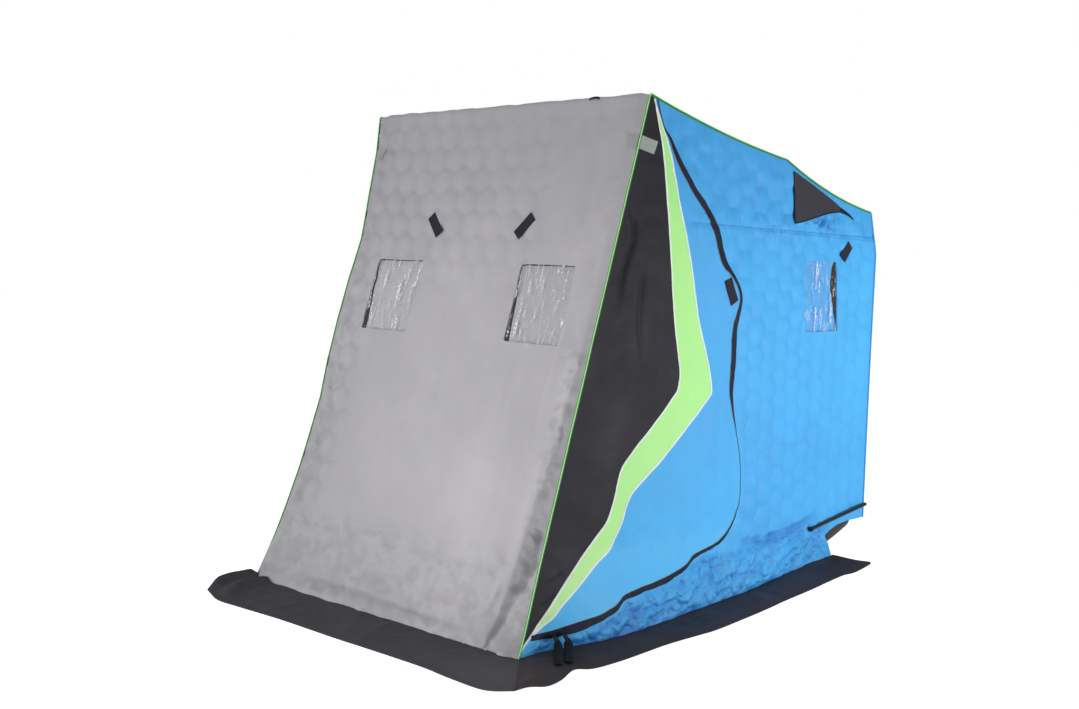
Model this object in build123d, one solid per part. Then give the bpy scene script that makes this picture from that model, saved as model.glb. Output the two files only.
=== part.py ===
"""Flip-over ice fishing hut: a fabric shelter on a folding pole frame that pivots on a tow sled.

Frame: +X to the right seen from the front, +Y to the rear, +Z up, millimetres. The origin is at the
centre of the footprint on the ice. Setbacks are measured rearward from the foot of the front wall.
"""
import os
from math import asin, degrees, hypot, sqrt

from build123d import *

# ---- shell: the side profile that the front wall, roof and back wall follow ----
hut_width = 1480.0             # across the outer faces of the side walls
peak_setback = 615.0
peak_height = 1950.0
roof_bow_setback = 1576.0
roof_bow_height = 1793.0
rear_bow_setback = 2345.0
rear_bow_height = 1612.0
shoulder_setback = 2413.0
shoulder_height = 1420.0
back_setback = 2420.0
back_hem_height = 158.0
front_wall_sag = 45.0          # how far the front wall curves inward at mid height
fabric = 8.0                   # insulated wall thickness
seam_height = 1500.0           # horizontal seam of the side walls

# ---- notch in the side wall's hem, where the sled shows ----
notch_foot_setback = 2150.0
notch_corner_setback = 2066.0
notch_corner_height = 112.0
notch_top_setback = 2218.0

# ---- side door: hinge line and free edge (the zipper) ----
hinge_behind_front = 65.0      # hinge line behind the chord of the front wall
door_sill = 45.0
door_top_drop = 65.0           # below the peak
door_upper = (1100.0, 1440.0)
door_bulge = (1275.0, 1215.0)
door_waist = (1222.0, 940.0)
door_hip = (1315.0, 480.0)
door_heel = (1300.0, 185.0)
door_sole = (700.0, 112.0)
door_toe_setback = 110.0
door_gap = 5.0                 # round the free edge
hinge_gap = 2.5                # from the hinge axis to the cloth on either side
hinge_trim_gap = 6.0           # from the hinge axis to the trim that stands on the cloth
door_opening_margin = 400.0    # height up to which the strip under the door reaches

# ---- green stripe across the door ----
stripe_tip = (648.0, 1925.0)
stripe_toe = (10.0, 20.0)
stripe_inner = ((740.0, 1640.0), (888.0, 935.0), (868.0, 850.0), (625.0, 675.0), (465.0, 408.0),
                (190.0, 160.0))
stripe_outer = ((800.0, 1660.0), (1075.0, 960.0), (1076.0, 815.0), (760.0, 580.0), (530.0, 350.0),
                (240.0, 155.0))
stripe_round = 25.0

# ---- windows ----
front_window_inner = 282.0     # from the middle of the hut to the nearer side of the window
front_window_width = 288.0
front_window_sill = 1032.0
front_window_height = 293.0
side_window_setback = 1775.0
side_window_width = 290.0
side_window_sill = 1063.0
side_window_height = 313.0
vinyl = 2.0
cover = 3.0                    # cloth cover behind the vinyl
cover_lap = 20.0
cover_slit = 8.0

# ---- skirts on the ice ----
skirt = 3.0
front_skirt_width = 290.0
side_skirt_width = 230.0
skirt_tail_setback = 2200.0
skirt_tail_corner = 60.0

# ---- sled ----
hull_front_setback = 1440.0
hull_rim_height = 300.0
hull_bottom_height = 10.0
hull_wall = 6.0
hull_draft = 6.0               # degrees
hull_front_radius = 130.0      # corners seen from above
hull_rear_radius = 75.0
hull_bottom_radius = 65.0
upturn_setback = 1850.0        # from here the bottom sweeps up to the rear
upturn_radius = 1400.0
runner_width = 40.0
runner_count = 3
runner_spacing = 420.0
runner_inset = 190.0

# ---- frame ----
pivot_setback = 1850.0
pivot_height = 450.0
plate_radius = 110.0
plate = 6.0
plate_foot = 150.0
pivot_pin_radius = 8.0
pole_radius = 14.0
bar_radius = 12.0
pole_start = 64.0              # from the pivot to the end of each pole
seat = 0.3                     # clearance between the frame and the fabric

# ---- trim ----
welt_radius = 2.2
tape = 2.0
tape_width = 12.0
hood_thickness = 6.0
hood_corners = ((1628.0, 1751.0), (1648.0, 1532.0), (2034.0, 1599.0))
rail_radius = 8.0
rail_front = (1904.0, 172.0)
rail_rear = (2422.0, 222.0)
rail_knob_radius = 11.0
rail_knob_length = 14.0
front_tab_offset = 260.0
front_tab_height = 1467.0
side_tab_setback = 2130.0
side_tab_height = 1424.0
tab_length = 105.0
tab_width = 44.0
tab_lean = 44.0
reflector_height = 1774.0
reflector_width = 46.0
reflector_front_length = 50.0
reflector_rear_setback = 668.0
patch_size = (62.0, 100.0)
patch_centre = (1197.0, 1240.0)
patch_lean = 32.0
pull_setbacks = (197.0, 245.0)
pull_width = 28.0
pull_reach = 85.0
pull_top = 46.0
pull_clear = 9.0               # height of a pull's tip above the ice
loop_offset = 484.0
loop_width = 42.0
loop_height = 15.0
loop_depth = 26.0
loop_strap = 3.0

# ---- derived ----
half_width = hut_width / 2
inner_half = half_width - fabric
pole_offset = inner_half - seat - pole_radius
rail_rise = (rail_rear[1] - rail_front[1]) / hypot(rail_rear[0] - rail_front[0], rail_rear[1] - rail_front[1])
overall_length = front_skirt_width + rail_rear[0] + rail_radius * rail_rise
front_y = front_skirt_width - overall_length / 2
peak = (peak_setback, peak_height)
roof_bow = (roof_bow_setback, roof_bow_height)
rear_bow = (rear_bow_setback, rear_bow_height)
shoulder = (shoulder_setback, shoulder_height)
back_hem = (back_setback, back_hem_height)
chord = hypot(peak_setback, peak_height)
up_front = (peak_setback / chord, peak_height / chord)
into_hut = (up_front[1], -up_front[0])
far = 3 * peak_height

# The front wall is an arc: its centre lies in front of the hut.
arc_radius = (chord**2 / 4 + front_wall_sag**2) / (2 * front_wall_sag)
arc_centre = (
    peak_setback / 2 - (arc_radius - front_wall_sag) * into_hut[0],
    peak_height / 2 - (arc_radius - front_wall_sag) * into_hut[1],
)


# ---- points in the side plane, as (setback, height) ----
def on_arc(depth, height):
    """Point of the front wall at a depth behind its outer face and at a height."""
    radius = arc_radius + depth
    return (arc_centre[0] + sqrt(radius**2 - (height - arc_centre[1]) ** 2), height)


def line_inset(start, end, depth):
    """A line moved towards the inside of the hut; the outline runs front to rear over the top."""
    length = hypot(end[0] - start[0], end[1] - start[1])
    normal = ((end[1] - start[1]) / length, -(end[0] - start[0]) / length)
    move = (normal[0] * depth, normal[1] * depth)
    return (start[0] + move[0], start[1] + move[1]), (end[0] + move[0], end[1] + move[1])


def crossing(first, second):
    """Where two lines, each a pair of points, meet."""
    (ax, ay), (bx, by) = first
    (cx, cy), (dx, dy) = second
    cross = (bx - ax) * (dy - cy) - (by - ay) * (dx - cx)
    share = ((cx - ax) * (dy - cy) - (cy - ay) * (dx - cx)) / cross
    return ax + share * (bx - ax), ay + share * (by - ay)


def inside_corner(before, corner, after, depth):
    """The corner of the outline, moved inward by a depth from both of its lines."""
    return crossing(line_inset(before, corner, depth), line_inset(corner, after, depth))


def inside_peak(depth):
    """The peak, moved inward by a depth from the arc of the front wall and from the roof."""
    (ax, ay), (bx, by) = line_inset(peak, roof_bow, depth)
    length = hypot(bx - ax, by - ay)
    ux, uy = (bx - ax) / length, (by - ay) / length
    px, py = ax - arc_centre[0], ay - arc_centre[1]
    along = px * ux + py * uy
    reach = sqrt(along**2 - (px**2 + py**2) + (arc_radius + depth) ** 2)
    return ax + (reach - along) * ux, ay + (reach - along) * uy


def on_hinge(height, behind=0.0):
    """Point of the door's hinge line at a height, moved rearward across the line."""
    distance = hinge_behind_front + behind
    along = (height - distance * into_hut[1]) / up_front[1]
    return (distance * into_hut[0] + along * up_front[0], height)


# ---- faces in the side plane ----
def outline(points, radii=0.0):
    """Face bounded by straight lines between points, with rounded corners where radii are given."""
    places = [(front_y + setback, height) for setback, height in points]
    if radii:
        return make_face(FilletPolyline(*places, radius=radii, close=True))
    return make_face(Polyline(*places, close=True))


def front_strip(depth_from, depth_to, low, high):
    """Strip of the curved front wall between two depths and two heights."""
    outer = [on_arc(depth_from, low), on_arc(depth_from, high)]
    inner = [on_arc(depth_to, high), on_arc(depth_to, low)]
    corners = outer + inner
    return curved_strip(corners, depth_from, depth_to)


def curved_strip(corners, depth_from, depth_to):
    """Face with two arcs that follow the front wall, from its four corners."""
    outer_low, outer_high, inner_high, inner_low = corners
    outer_mid = on_arc(depth_from, (outer_low[1] + outer_high[1]) / 2)
    inner_mid = on_arc(depth_to, (inner_low[1] + inner_high[1]) / 2)
    places = [(front_y + s, z) for s, z in (*corners, outer_mid, inner_mid)]
    edges = [
        ThreePointArc(places[0], places[4], places[1]),
        Line(places[1], places[2]),
        ThreePointArc(places[2], places[5], places[3]),
        Line(places[3], places[0]),
    ]
    return make_face(edges)


def prism(face, low_x, high_x):
    """Solid between two X positions with a face of the side plane as its section."""
    return extrude(Plane.YZ.offset(low_x) * face, amount=high_x - low_x)


def band(points):
    """Prism through the whole right-hand side wall and the space beside it."""
    return prism(outline(points), 0, 2 * half_width)


def shell_points(depth):
    """Corners of the outline behind the front wall, moved inward by a depth."""
    back_line = line_inset(shoulder, back_hem, depth)
    floor_line = (back_hem, (0.0, back_hem_height))
    return [
        inside_peak(depth),
        inside_corner(peak, roof_bow, rear_bow, depth),
        inside_corner(roof_bow, rear_bow, shoulder, depth),
        inside_corner(rear_bow, shoulder, back_hem, depth),
        crossing(back_line, floor_line),
    ]


outer = shell_points(0)
inner = shell_points(fabric)


# ---- walls across the hut ----
def front_wall():
    wall = prism(curved_strip([on_arc(0, 0), outer[0], inner[0], on_arc(fabric, 0)], 0, fabric),
                 -inner_half, inner_half)
    return wall - front_window_prism(1, 0) - front_window_prism(-1, 0)


def front_window_prism(side, lap):
    middle = side * (front_window_inner + front_window_width / 2)
    height = front_window_sill + front_window_height / 2
    size = (front_window_width + 2 * lap, far, front_window_height + 2 * lap)
    return Pos(middle, 0, height) * Box(*size)


def slab(first):
    """One flat stretch of the roof or the back wall, from a corner of the outline to the next."""
    corners = [outer[first], outer[first + 1], inner[first + 1], inner[first]]
    return prism(outline(corners), -inner_half, inner_half)


# ---- right-hand side wall: one profile, cut into its panels ----
def side_profile():
    foot, crown = on_arc(0, 0), outer[0]
    middle = on_arc(0, peak_height / 2)
    rest = [
        *outer,
        (notch_top_setback, back_hem_height),
        (notch_corner_setback, notch_corner_height),
        (notch_foot_setback, 0.0),
        foot,
    ]
    places = [(front_y + s, z) for s, z in rest]
    edges = [ThreePointArc((front_y + foot[0], foot[1]), (front_y + middle[0], middle[1]),
                           (front_y + crown[0], crown[1]))]
    edges += [Line(start, end) for start, end in zip(places, places[1:])]
    return make_face(edges)


def door_outline(inset, behind=0.0):
    """Outline of the door: its free edge is moved inward by an inset, its hinge side rearward."""
    top = on_hinge(peak_height - door_top_drop)
    free = [top, door_upper, door_bulge, door_waist, door_hip, door_heel, door_sole,
            (door_toe_setback, door_sill), on_hinge(door_sill)]
    moved = [line_inset(start, end, inset) for start, end in zip(free, free[1:])]
    hinge = (on_hinge(0.0, behind), on_hinge(peak_height, behind))
    corners = [crossing(hinge, moved[0])]
    corners += [crossing(first, second) for first, second in zip(moved, moved[1:])]
    corners += [crossing(moved[-1], hinge)]
    radii = [0.0, 260.0, 70.0 - inset, 400.0 + inset, 350.0 - inset, 120.0 - inset, 500.0, 60.0, 0.0]
    return outline(corners, radii)


def behind_hinge(distance):
    """Everything that lies more than a distance behind the hinge line."""
    low, high = on_hinge(-far, distance), on_hinge(far, distance)
    return band([low, high, (far, far), (far, -far)])


def stripe_zone(edge):
    """Everything behind one edge of the stripe."""
    behind = [(stripe_toe[0], -far), (far, -far), (far, far), (stripe_tip[0], far)]
    path = [stripe_tip, *edge, stripe_toe, *behind]
    radii = [0.0] + [stripe_round] * len(edge) + [0.0] * 5
    return prism(outline(path, radii), 0, 2 * half_width)


def side_window_prism(lap):
    height = side_window_sill + side_window_height / 2
    setback = side_window_setback + side_window_width / 2
    size = (far, side_window_width + 2 * lap, side_window_height + 2 * lap)
    return Pos(half_width + far / 2 - fabric - 1, front_y + setback, height) * Box(*size)


def side_panels():
    """The fixed panels of the right-hand wall, by name."""
    wall = prism(side_profile(), inner_half, half_width)
    doorway = prism(door_outline(0, -hinge_gap), 0, 2 * half_width)
    wall = wall - doorway - side_window_prism(0)
    upper = band([(-far, seam_height), (-far, far), (far, far), (far, seam_height)])
    lower = wall - upper
    margin = band([(-far, door_sill), (-far, far), on_hinge(far), on_hinge(door_sill)])
    sill = band([(-far, -far), (-far, door_opening_margin), (door_heel[0], door_opening_margin),
                 (door_heel[0], -far)])
    return {
        "side_upper": wall & upper,
        "side_front": lower & margin,
        "side_bottom": (lower - margin) & sill,
        "side_rear": lower - margin - sill,
    }


def door_panels():
    """The three cloth colours of the door, by name."""
    panel = prism(door_outline(door_gap, hinge_gap), inner_half, half_width)
    inner_zone = stripe_zone(stripe_inner)
    outer_zone = stripe_zone(stripe_outer)
    return {
        "door_black": panel - inner_zone,
        "door_green": (panel & inner_zone) - outer_zone,
        "door_blue": panel & outer_zone,
    }


# ---- trim on the right-hand wall ----
def skin(face, thickness):
    """A thin layer on the outer face of the side wall."""
    return prism(face, half_width, half_width + thickness)


def wall_tape():
    ring = skin(door_outline(-tape_width), tape) - skin(door_outline(0), 2 * tape)
    return ring & behind_hinge(2 * tape_width) & band([(0, skirt), (0, far), (far, far), (far, skirt)])


def door_trim():
    ring = skin(door_outline(door_gap), tape) - skin(door_outline(door_gap + tape_width), 2 * tape)
    ring = ring & behind_hinge(2 * tape_width)
    patch = Plane.YZ.offset(half_width + tape) * Pos(front_y + patch_centre[0], patch_centre[1])
    parts = [ring, extrude(patch * Rot(0, 0, patch_lean) * Rectangle(*patch_size), amount=tape)]
    parts += [zip_pull(setback) for setback in pull_setbacks]
    parts += [reflector_side() & behind_hinge(hinge_trim_gap)]
    return Compound(children=[solid for part in parts for solid in part.solids()])


def zip_pull(setback):
    """A pull tab that hangs from the zipper and leans out over the skirt."""
    root = half_width + tape
    section = make_face(Polyline((root, pull_top), (root + 2 * tape, pull_top + tape),
                                 (root + pull_reach, pull_clear + tape), (root + pull_reach, pull_clear),
                                 close=True))
    plane = Plane(origin=(0, front_y + setback - pull_width / 2, 0), x_dir=(1, 0, 0), z_dir=(0, -1, 0))
    return extrude(plane * section, amount=-pull_width)


def reflector_side():
    low, high = reflector_height - reflector_width / 2, reflector_height + reflector_width / 2
    front = on_arc(0, reflector_height)[0]
    return skin(outline([(front + 4, low), (front + 8, high), (reflector_rear_setback, high - 10),
                         (reflector_rear_setback - 14, low - 10)]), tape)


def reflector_front():
    """The part of the reflective tab that lies on the front wall."""
    low, high = reflector_height - reflector_width / 2, reflector_height + reflector_width / 2
    strip = front_strip(-tape - seat, -seat, low, high)
    return prism(strip, inner_half - reflector_front_length, inner_half)


def window_tabs():
    lean = Plane.XZ.offset(far / 2) * Pos(front_tab_offset, front_tab_height) * Rot(0, 0, tab_lean)
    column = extrude(lean * Rectangle(tab_length, tab_width), amount=-far)
    low, high = front_tab_height - tab_length, front_tab_height + tab_length
    layer = prism(front_strip(-tape - seat, -seat, low, high), 0, half_width)
    plane = Plane.YZ.offset(half_width) * Pos(front_y + side_tab_setback, side_tab_height)
    rear = extrude(plane * Rot(0, 0, -tab_lean) * Rectangle(tab_length, tab_width), amount=tape)
    return [layer & column, rear]


def hinge_welt():
    low = on_hinge(door_sill + door_gap)
    high = on_hinge(peak_height - door_top_drop - door_gap)
    start = Vector(half_width, front_y + low[0], low[1])
    end = Vector(half_width, front_y + high[0], high[1])
    return extrude(Plane(start, z_dir=end - start) * Circle(welt_radius), amount=(end - start).length)


def rail():
    """Round rail that tensions the cloth along the sled's side."""
    offset = half_width + seat + rail_knob_radius
    start = Vector(offset, front_y + rail_front[0], rail_front[1])
    end = Vector(offset, front_y + rail_rear[0], rail_rear[1])
    plane = Plane(start, z_dir=end - start)
    length = (end - start).length
    bar = extrude(plane * Circle(rail_radius), amount=length)
    knob = extrude(plane * Circle(rail_knob_radius), amount=rail_knob_length)
    return bar + knob


# ---- sled ----
def back_wall_inside(height):
    """Setback of the back wall's inner face at a height."""
    return crossing(line_inset(shoulder, back_hem, fabric), ((0.0, height), (1.0, height)))[0]


def under_upturn(inset):
    """Block below the bottom's upward sweep."""
    start = front_y + upturn_setback
    floor = hull_bottom_height + inset
    run = back_wall_inside(hull_rim_height) - upturn_setback
    sweep = CenterArc((start, floor + upturn_radius), upturn_radius, -90, degrees(asin(run / upturn_radius)))
    below = Polyline(sweep @ 1, ((sweep @ 1).X, 0), (start, 0), sweep @ 0)
    return extrude(Plane.YZ * make_face(sweep + below), amount=inner_half, both=True)


def hull_body(inset):
    """Solid tub: the rim rectangle, drawn in towards a rounded bottom that turns up at the rear."""
    rear = back_wall_inside(hull_rim_height)
    length = rear - hull_front_setback - 2 * inset
    height = hull_rim_height - hull_bottom_height - inset
    middle = front_y + (rear + hull_front_setback) / 2
    rim = Plane.XY.offset(hull_rim_height) * Pos(0, middle) * Rectangle(2 * (inner_half - inset), length)
    body = extrude(rim, amount=-height, taper=hull_draft) - under_upturn(inset)
    for in_front, radius in ((True, hull_front_radius), (False, hull_rear_radius)):
        corners = [e for e in body.edges() if abs(max((e @ 0).Z, (e @ 1).Z) - hull_rim_height) < 0.1
                   and abs((e @ 0).Z - (e @ 1).Z) > 1 and ((e @ 0.5).Y < middle) == in_front]
        body = fillet(corners, radius - inset)
    underside = [face for face in body.faces() if face.normal_at(face.center()).Z < -0.5]
    bottom_edges = [e for face in underside for e in face.edges()
                    if abs((e @ 0.5).X) > 1 or abs((e @ 0.5).Y - front_y - upturn_setback) > 1]
    return fillet(bottom_edges, hull_bottom_radius - inset)


def hull():
    return hull_body(0) - hull_body(hull_wall)


def runners():
    low = hull_front_setback + runner_inset
    high = upturn_setback
    first = -runner_spacing * (runner_count - 1) / 2
    strips = []
    for index in range(runner_count):
        place = Pos(first + index * runner_spacing, front_y + (low + high) / 2, hull_bottom_height / 2)
        strips.append(place * Box(runner_width, high - low, hull_bottom_height))
    return strips


# ---- folding frame ----
def pivot_bracket():
    """Round plate on the rim of the sled, with the pin that the poles fan out from."""
    face = pole_offset - pole_radius
    centre = (front_y + pivot_setback, pivot_height)
    disc = Plane.YZ.offset(face - plate) * Pos(*centre) * Circle(plate_radius)
    body = extrude(disc, amount=plate)
    stem_height = pivot_height - hull_rim_height
    stem = Box(plate, plate_foot, stem_height)
    body += Pos(face - plate / 2, centre[0], hull_rim_height + stem_height / 2) * stem
    foot_width = inner_half - face + plate
    body += Pos(inner_half - foot_width / 2, centre[0], hull_rim_height + plate / 2) * Box(
        foot_width, plate_foot, plate)
    pin = Plane.YZ.offset(face) * Pos(*centre) * Circle(pivot_pin_radius)
    return body + extrude(pin, amount=2 * pole_radius)


def bow_places():
    """Where the four bars across the hut lie, as (setback, height)."""
    depth = fabric + seat + bar_radius
    return {
        "ground": on_arc(depth, bar_radius),
        "peak": inside_peak(depth),
        "roof": inside_corner(peak, roof_bow, rear_bow, depth),
        "rear": inside_corner(roof_bow, rear_bow, shoulder, depth),
    }


def pole(place):
    """Pole from near the pivot to the bar of its bow, on the right."""
    reach = hypot(place[0] - pivot_setback, place[1] - pivot_height)
    way = ((place[0] - pivot_setback) / reach, (place[1] - pivot_height) / reach)
    foot_y = front_y + pivot_setback + way[0] * pole_start
    start = Vector(pole_offset, foot_y, pivot_height + way[1] * pole_start)
    plane = Plane(start, z_dir=(0, *way))
    return extrude(plane * Circle(pole_radius), amount=reach - pole_start - bar_radius)


def bar(place):
    plane = Plane.YZ.offset(-inner_half + seat) * Pos(front_y + place[0], place[1])
    return extrude(plane * Circle(bar_radius), amount=2 * (inner_half - seat))


# ---- skirts ----
def front_skirt():
    reach = half_width + side_skirt_width
    corners = [(-half_width, front_y), (half_width, front_y), (reach, front_y - front_skirt_width),
               (-reach, front_y - front_skirt_width)]
    return extrude(make_face(Polyline(*corners, close=True)), amount=skirt)


def side_skirt():
    reach = half_width + side_skirt_width
    tail = front_y + skirt_tail_setback
    corners = [(half_width, front_y), (half_width, tail), (reach - skirt_tail_corner, tail),
               (reach, tail - 2.5 * skirt_tail_corner), (reach, front_y - front_skirt_width)]
    return extrude(make_face(Polyline(*corners, close=True)), amount=skirt)


# ---- windows and small pieces ----
def front_windows():
    section = front_strip(vinyl, 2 * vinyl, front_window_sill, front_window_sill + front_window_height)
    sheet = prism(section, 0, half_width) & front_window_prism(1, 0)
    return both_sides(sheet)


def front_covers():
    """Cloth covers inside the front windows, in two leaves with a slit between them."""
    low = front_window_sill - cover_lap
    high = front_window_sill + front_window_height + cover_lap
    section = front_strip(fabric + seat, fabric + seat + cover, low, high)
    sheet = prism(section, 0, half_width) & front_window_prism(1, cover_lap)
    slit_x = front_window_inner + 1.5 * cover_slit
    sheet = sheet - Pos(slit_x, 0, (low + high) / 2) * Box(cover_slit, far, front_window_height)
    return both_sides(sheet)


def side_window():
    return prism(window_face(0), half_width - 2 * vinyl, half_width - vinyl)


def side_cover():
    sheet = prism(window_face(cover_lap), inner_half - cover, inner_half)
    setback = side_window_setback + side_window_width - 1.5 * cover_slit
    height = side_window_sill + side_window_height / 2
    return sheet - Pos(inner_half, front_y + setback, height) * Box(3 * cover, cover_slit, side_window_height)


def window_face(lap):
    low, high = side_window_setback - lap, side_window_setback + side_window_width + lap
    bottom, top = side_window_sill - lap, side_window_sill + side_window_height + lap
    return outline([(low, bottom), (low, top), (high, top), (high, bottom)])


def vent_hood():
    return skin(outline(hood_corners, [20.0, 20.0, 20.0]), hood_thickness)


def ridge_loop():
    """Webbing loop that stands on the ridge."""
    slope = line_inset(peak, roof_bow, 0)
    foot = (peak_setback + loop_depth / 2, peak_height)
    drop = (slope[0][1] - slope[1][1]) / (slope[1][0] - slope[0][0])
    low = foot[1] - drop * loop_depth
    height = peak_height + loop_height - low
    block = Box(loop_width, loop_depth - 2, height)
    block = Pos(loop_offset, front_y + foot[0] + 1, low + height / 2) * block
    hole_height = loop_height + peak_height - low - loop_strap
    hole = Pos(loop_offset, front_y + foot[0], low + hole_height / 2) * Box(
        loop_width - 2 * loop_strap, 2 * loop_depth, hole_height)
    roof = prism(outline([peak, roof_bow, (roof_bow_setback, 0), (peak_setback, 0)]), 0, half_width)
    return block - hole - roof


# ---- writing ----
def both_sides(part):
    """The part and its mirror image, as separate solids."""
    return [*part.solids(), *mirror(part, about=Plane.YZ).solids()]


def save(name, parts):
    solids = [solid for part in parts for solid in part.solids()]
    export_step(Compound(children=solids), f"parts/{name}.step")


def save_pair(name, part):
    save(f"{name}_right", [part])
    save(f"{name}_left", [mirror(part, about=Plane.YZ)])


def main():
    os.makedirs("parts", exist_ok=True)
    save("front_wall", [front_wall()])
    for index, name in enumerate(("roof_front", "roof_rear", "back_wall_upper", "back_wall")):
        save(name, [slab(index)])
    for name, part in {**side_panels(), **door_panels(), "door_trim": door_trim()}.items():
        save_pair(name, part)
    save("front_windows", front_windows())
    save("front_window_covers", front_covers())
    save("side_windows", both_sides(side_window()))
    save("side_window_covers", both_sides(side_cover()))
    save("skirt_front", [front_skirt()])
    save_pair("skirt", side_skirt())
    save("sled_hull", [hull()])
    save("sled_runners", runners())
    save("pivot_brackets", both_sides(pivot_bracket()))
    for name, place in bow_places().items():
        save(f"{name}_bar", [bar(place)])
        save(f"{name}_poles", both_sides(pole(place)))
    save("side_rails", both_sides(rail()))
    save("hinge_welts", both_sides(hinge_welt()))
    save("zipper_tapes", both_sides(wall_tape()))
    save("vent_hoods", both_sides(vent_hood()))
    front_tab, rear_tab = window_tabs()
    save("window_tabs", [*both_sides(front_tab), *both_sides(rear_tab)])
    margin_side = reflector_side() - behind_hinge(-hinge_trim_gap)
    save("reflective_tabs", [*both_sides(reflector_front()), *both_sides(margin_side)])
    save("ridge_loop", [ridge_loop()])


main()
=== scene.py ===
"""Looks of the flip-over ice fishing hut: cloth, trim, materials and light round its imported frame."""

import math

import bpy
import numpy as np
from mathutils import Matrix, Vector, geometry


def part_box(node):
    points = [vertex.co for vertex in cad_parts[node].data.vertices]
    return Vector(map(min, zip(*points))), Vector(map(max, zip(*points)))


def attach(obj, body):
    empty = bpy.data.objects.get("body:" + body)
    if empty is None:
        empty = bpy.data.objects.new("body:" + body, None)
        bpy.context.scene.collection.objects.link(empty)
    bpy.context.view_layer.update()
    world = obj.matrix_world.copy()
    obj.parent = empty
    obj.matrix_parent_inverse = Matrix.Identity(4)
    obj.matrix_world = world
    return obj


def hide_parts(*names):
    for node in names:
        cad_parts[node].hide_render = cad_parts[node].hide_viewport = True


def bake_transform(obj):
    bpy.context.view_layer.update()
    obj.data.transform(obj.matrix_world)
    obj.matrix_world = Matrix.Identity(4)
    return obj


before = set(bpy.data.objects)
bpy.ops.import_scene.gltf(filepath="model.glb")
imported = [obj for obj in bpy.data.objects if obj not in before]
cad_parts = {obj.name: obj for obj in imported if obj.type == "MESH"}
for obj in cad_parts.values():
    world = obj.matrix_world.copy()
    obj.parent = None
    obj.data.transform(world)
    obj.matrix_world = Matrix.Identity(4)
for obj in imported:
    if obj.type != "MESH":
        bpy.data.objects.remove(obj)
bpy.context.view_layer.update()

RIGHT, LEFT = 1, -1
SIDES = {"right": RIGHT, "left": LEFT}

# ---- sizes, in metres; setbacks run rearward from the front wall's foot ----
FRONT_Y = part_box("front_wall")[0][1]
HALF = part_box("side_rear_right")[1][0]
PEAK_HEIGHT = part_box("front_wall")[1][2]
PEAK_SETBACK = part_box("roof_front")[0][1] - FRONT_Y
ROOF_BOW = (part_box("roof_rear")[0][1] - FRONT_Y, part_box("roof_rear")[1][2])
REAR_BOW = (2.345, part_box("back_wall_upper")[1][2])
SHOULDER = (2.413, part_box("back_wall")[1][2])
BACK_HEM = (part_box("back_wall")[1][1] - FRONT_Y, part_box("back_wall")[0][2])
FRONT_SAG, ROOF_SAG, REAR_SAG, BACK_SAG = 0.045, 0.016, 0.024, 0.004
# how far the front wall's side edges are drawn in, by height: the right edge is even, the left one lumpy
PULL_HEIGHT = [0.0, 0.18, 0.45, 0.73, 0.88, 1.06, 1.23, 1.41, 1.61, 1.80, 1.90, 1.95]
PULL_RIGHT = [0.000, 0.012, 0.026, 0.035, 0.036, 0.037, 0.034, 0.029, 0.021, 0.010, 0.004, 0.000]
PULL_LEFT = [0.000, 0.022, 0.036, 0.036, 0.016, 0.010, 0.016, 0.036, 0.020, 0.010, -0.006, -0.012]
SEAM_HEIGHT = 1.5
SIDE_SILL, SIDE_LINTEL, SIDE_LEAN = 1.063, 1.376, 0.018        # SIDE_LEAN: half the lean of its sides
SIDE_WINDOW_FRONT, SIDE_WINDOW_REAR = 1.775, 2.065
FRONT_SILL, FRONT_LINTEL = 1.032, 1.325
FRONT_WINDOW_INNER, FRONT_WINDOW_OUTER = 0.282, 0.570
FILM_LIFT, COVER_LIFT = -0.001, -0.012
TAB_X, TAB_HEIGHT, TAB_LENGTH, TAB_WIDTH, TAB_ANGLE = {RIGHT: 0.256, LEFT: -0.258}, 1.470, 0.105, 0.044, 48
REFLECTIVE_HIGH, REFLECTIVE_LOW = 1.800, 1.752
APEX_SETBACK, ZIPPER_TOP_SETBACK = 0.637, 0.657       # where the stripe and the zipper meet the roof
TOE_HIGH, TOE_LOW = 0.036, 0.012                               # heights of the stripe's two lines at its toe
STRIP_WIDTHS = {"green_cloth": 0.2, "door_cloth": 0.62}
SKIRT_CLOTH = 0.003
LEFT_SKIRT_START = 0.60
CLOTH = 0.006
GRID, FRONT_GRID, ROOF_GRID, SKIRT_GRID = 0.0125, 0.0115, 0.015, 0.014      # spacing of the cloth's points

# ---- outlines in the side plane, as (setback, height); the zipper's also with its flap's half width ----
ZIPPER = [(0.056, 0.058, 0.009), (0.141, 0.058, 0.012), (0.221, 0.064, 0.015), (0.287, 0.072, 0.015),
          (0.362, 0.081, 0.012), (0.435, 0.099, 0.009), (0.472, 0.115, 0.0066), (0.514, 0.130, 0.0085),
          (0.601, 0.137, 0.0095), (0.703, 0.141, 0.0105), (0.812, 0.152, 0.009), (0.915, 0.172, 0.0065),
          (0.948, 0.184, 0.006), (0.981, 0.199, 0.0075), (1.070, 0.212, 0.0062), (1.161, 0.228, 0.006),
          (1.258, 0.281, 0.004), (1.317, 0.376, 0.0010), (1.320, 0.523, 0.0006), (1.285, 0.651, 0.0008),
          (1.248, 0.757, 0.0055), (1.229, 0.840, 0.013), (1.232, 0.962, 0.017), (1.234, 1.083, 0.016),
          (1.252, 1.143, 0.011), (1.270, 1.205, 0.008), (1.246, 1.264, 0.0075), (1.185, 1.317, 0.010),
          (1.132, 1.363, 0.018), (1.066, 1.479, 0.0175), (1.003, 1.553, 0.0155), (0.910, 1.624, 0.0135),
          (0.802, 1.729, 0.0125), (0.752, 1.798, 0.0065), (0.705, 1.850, 0.0025), (0.664, 1.905, 0.0006)]
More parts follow.
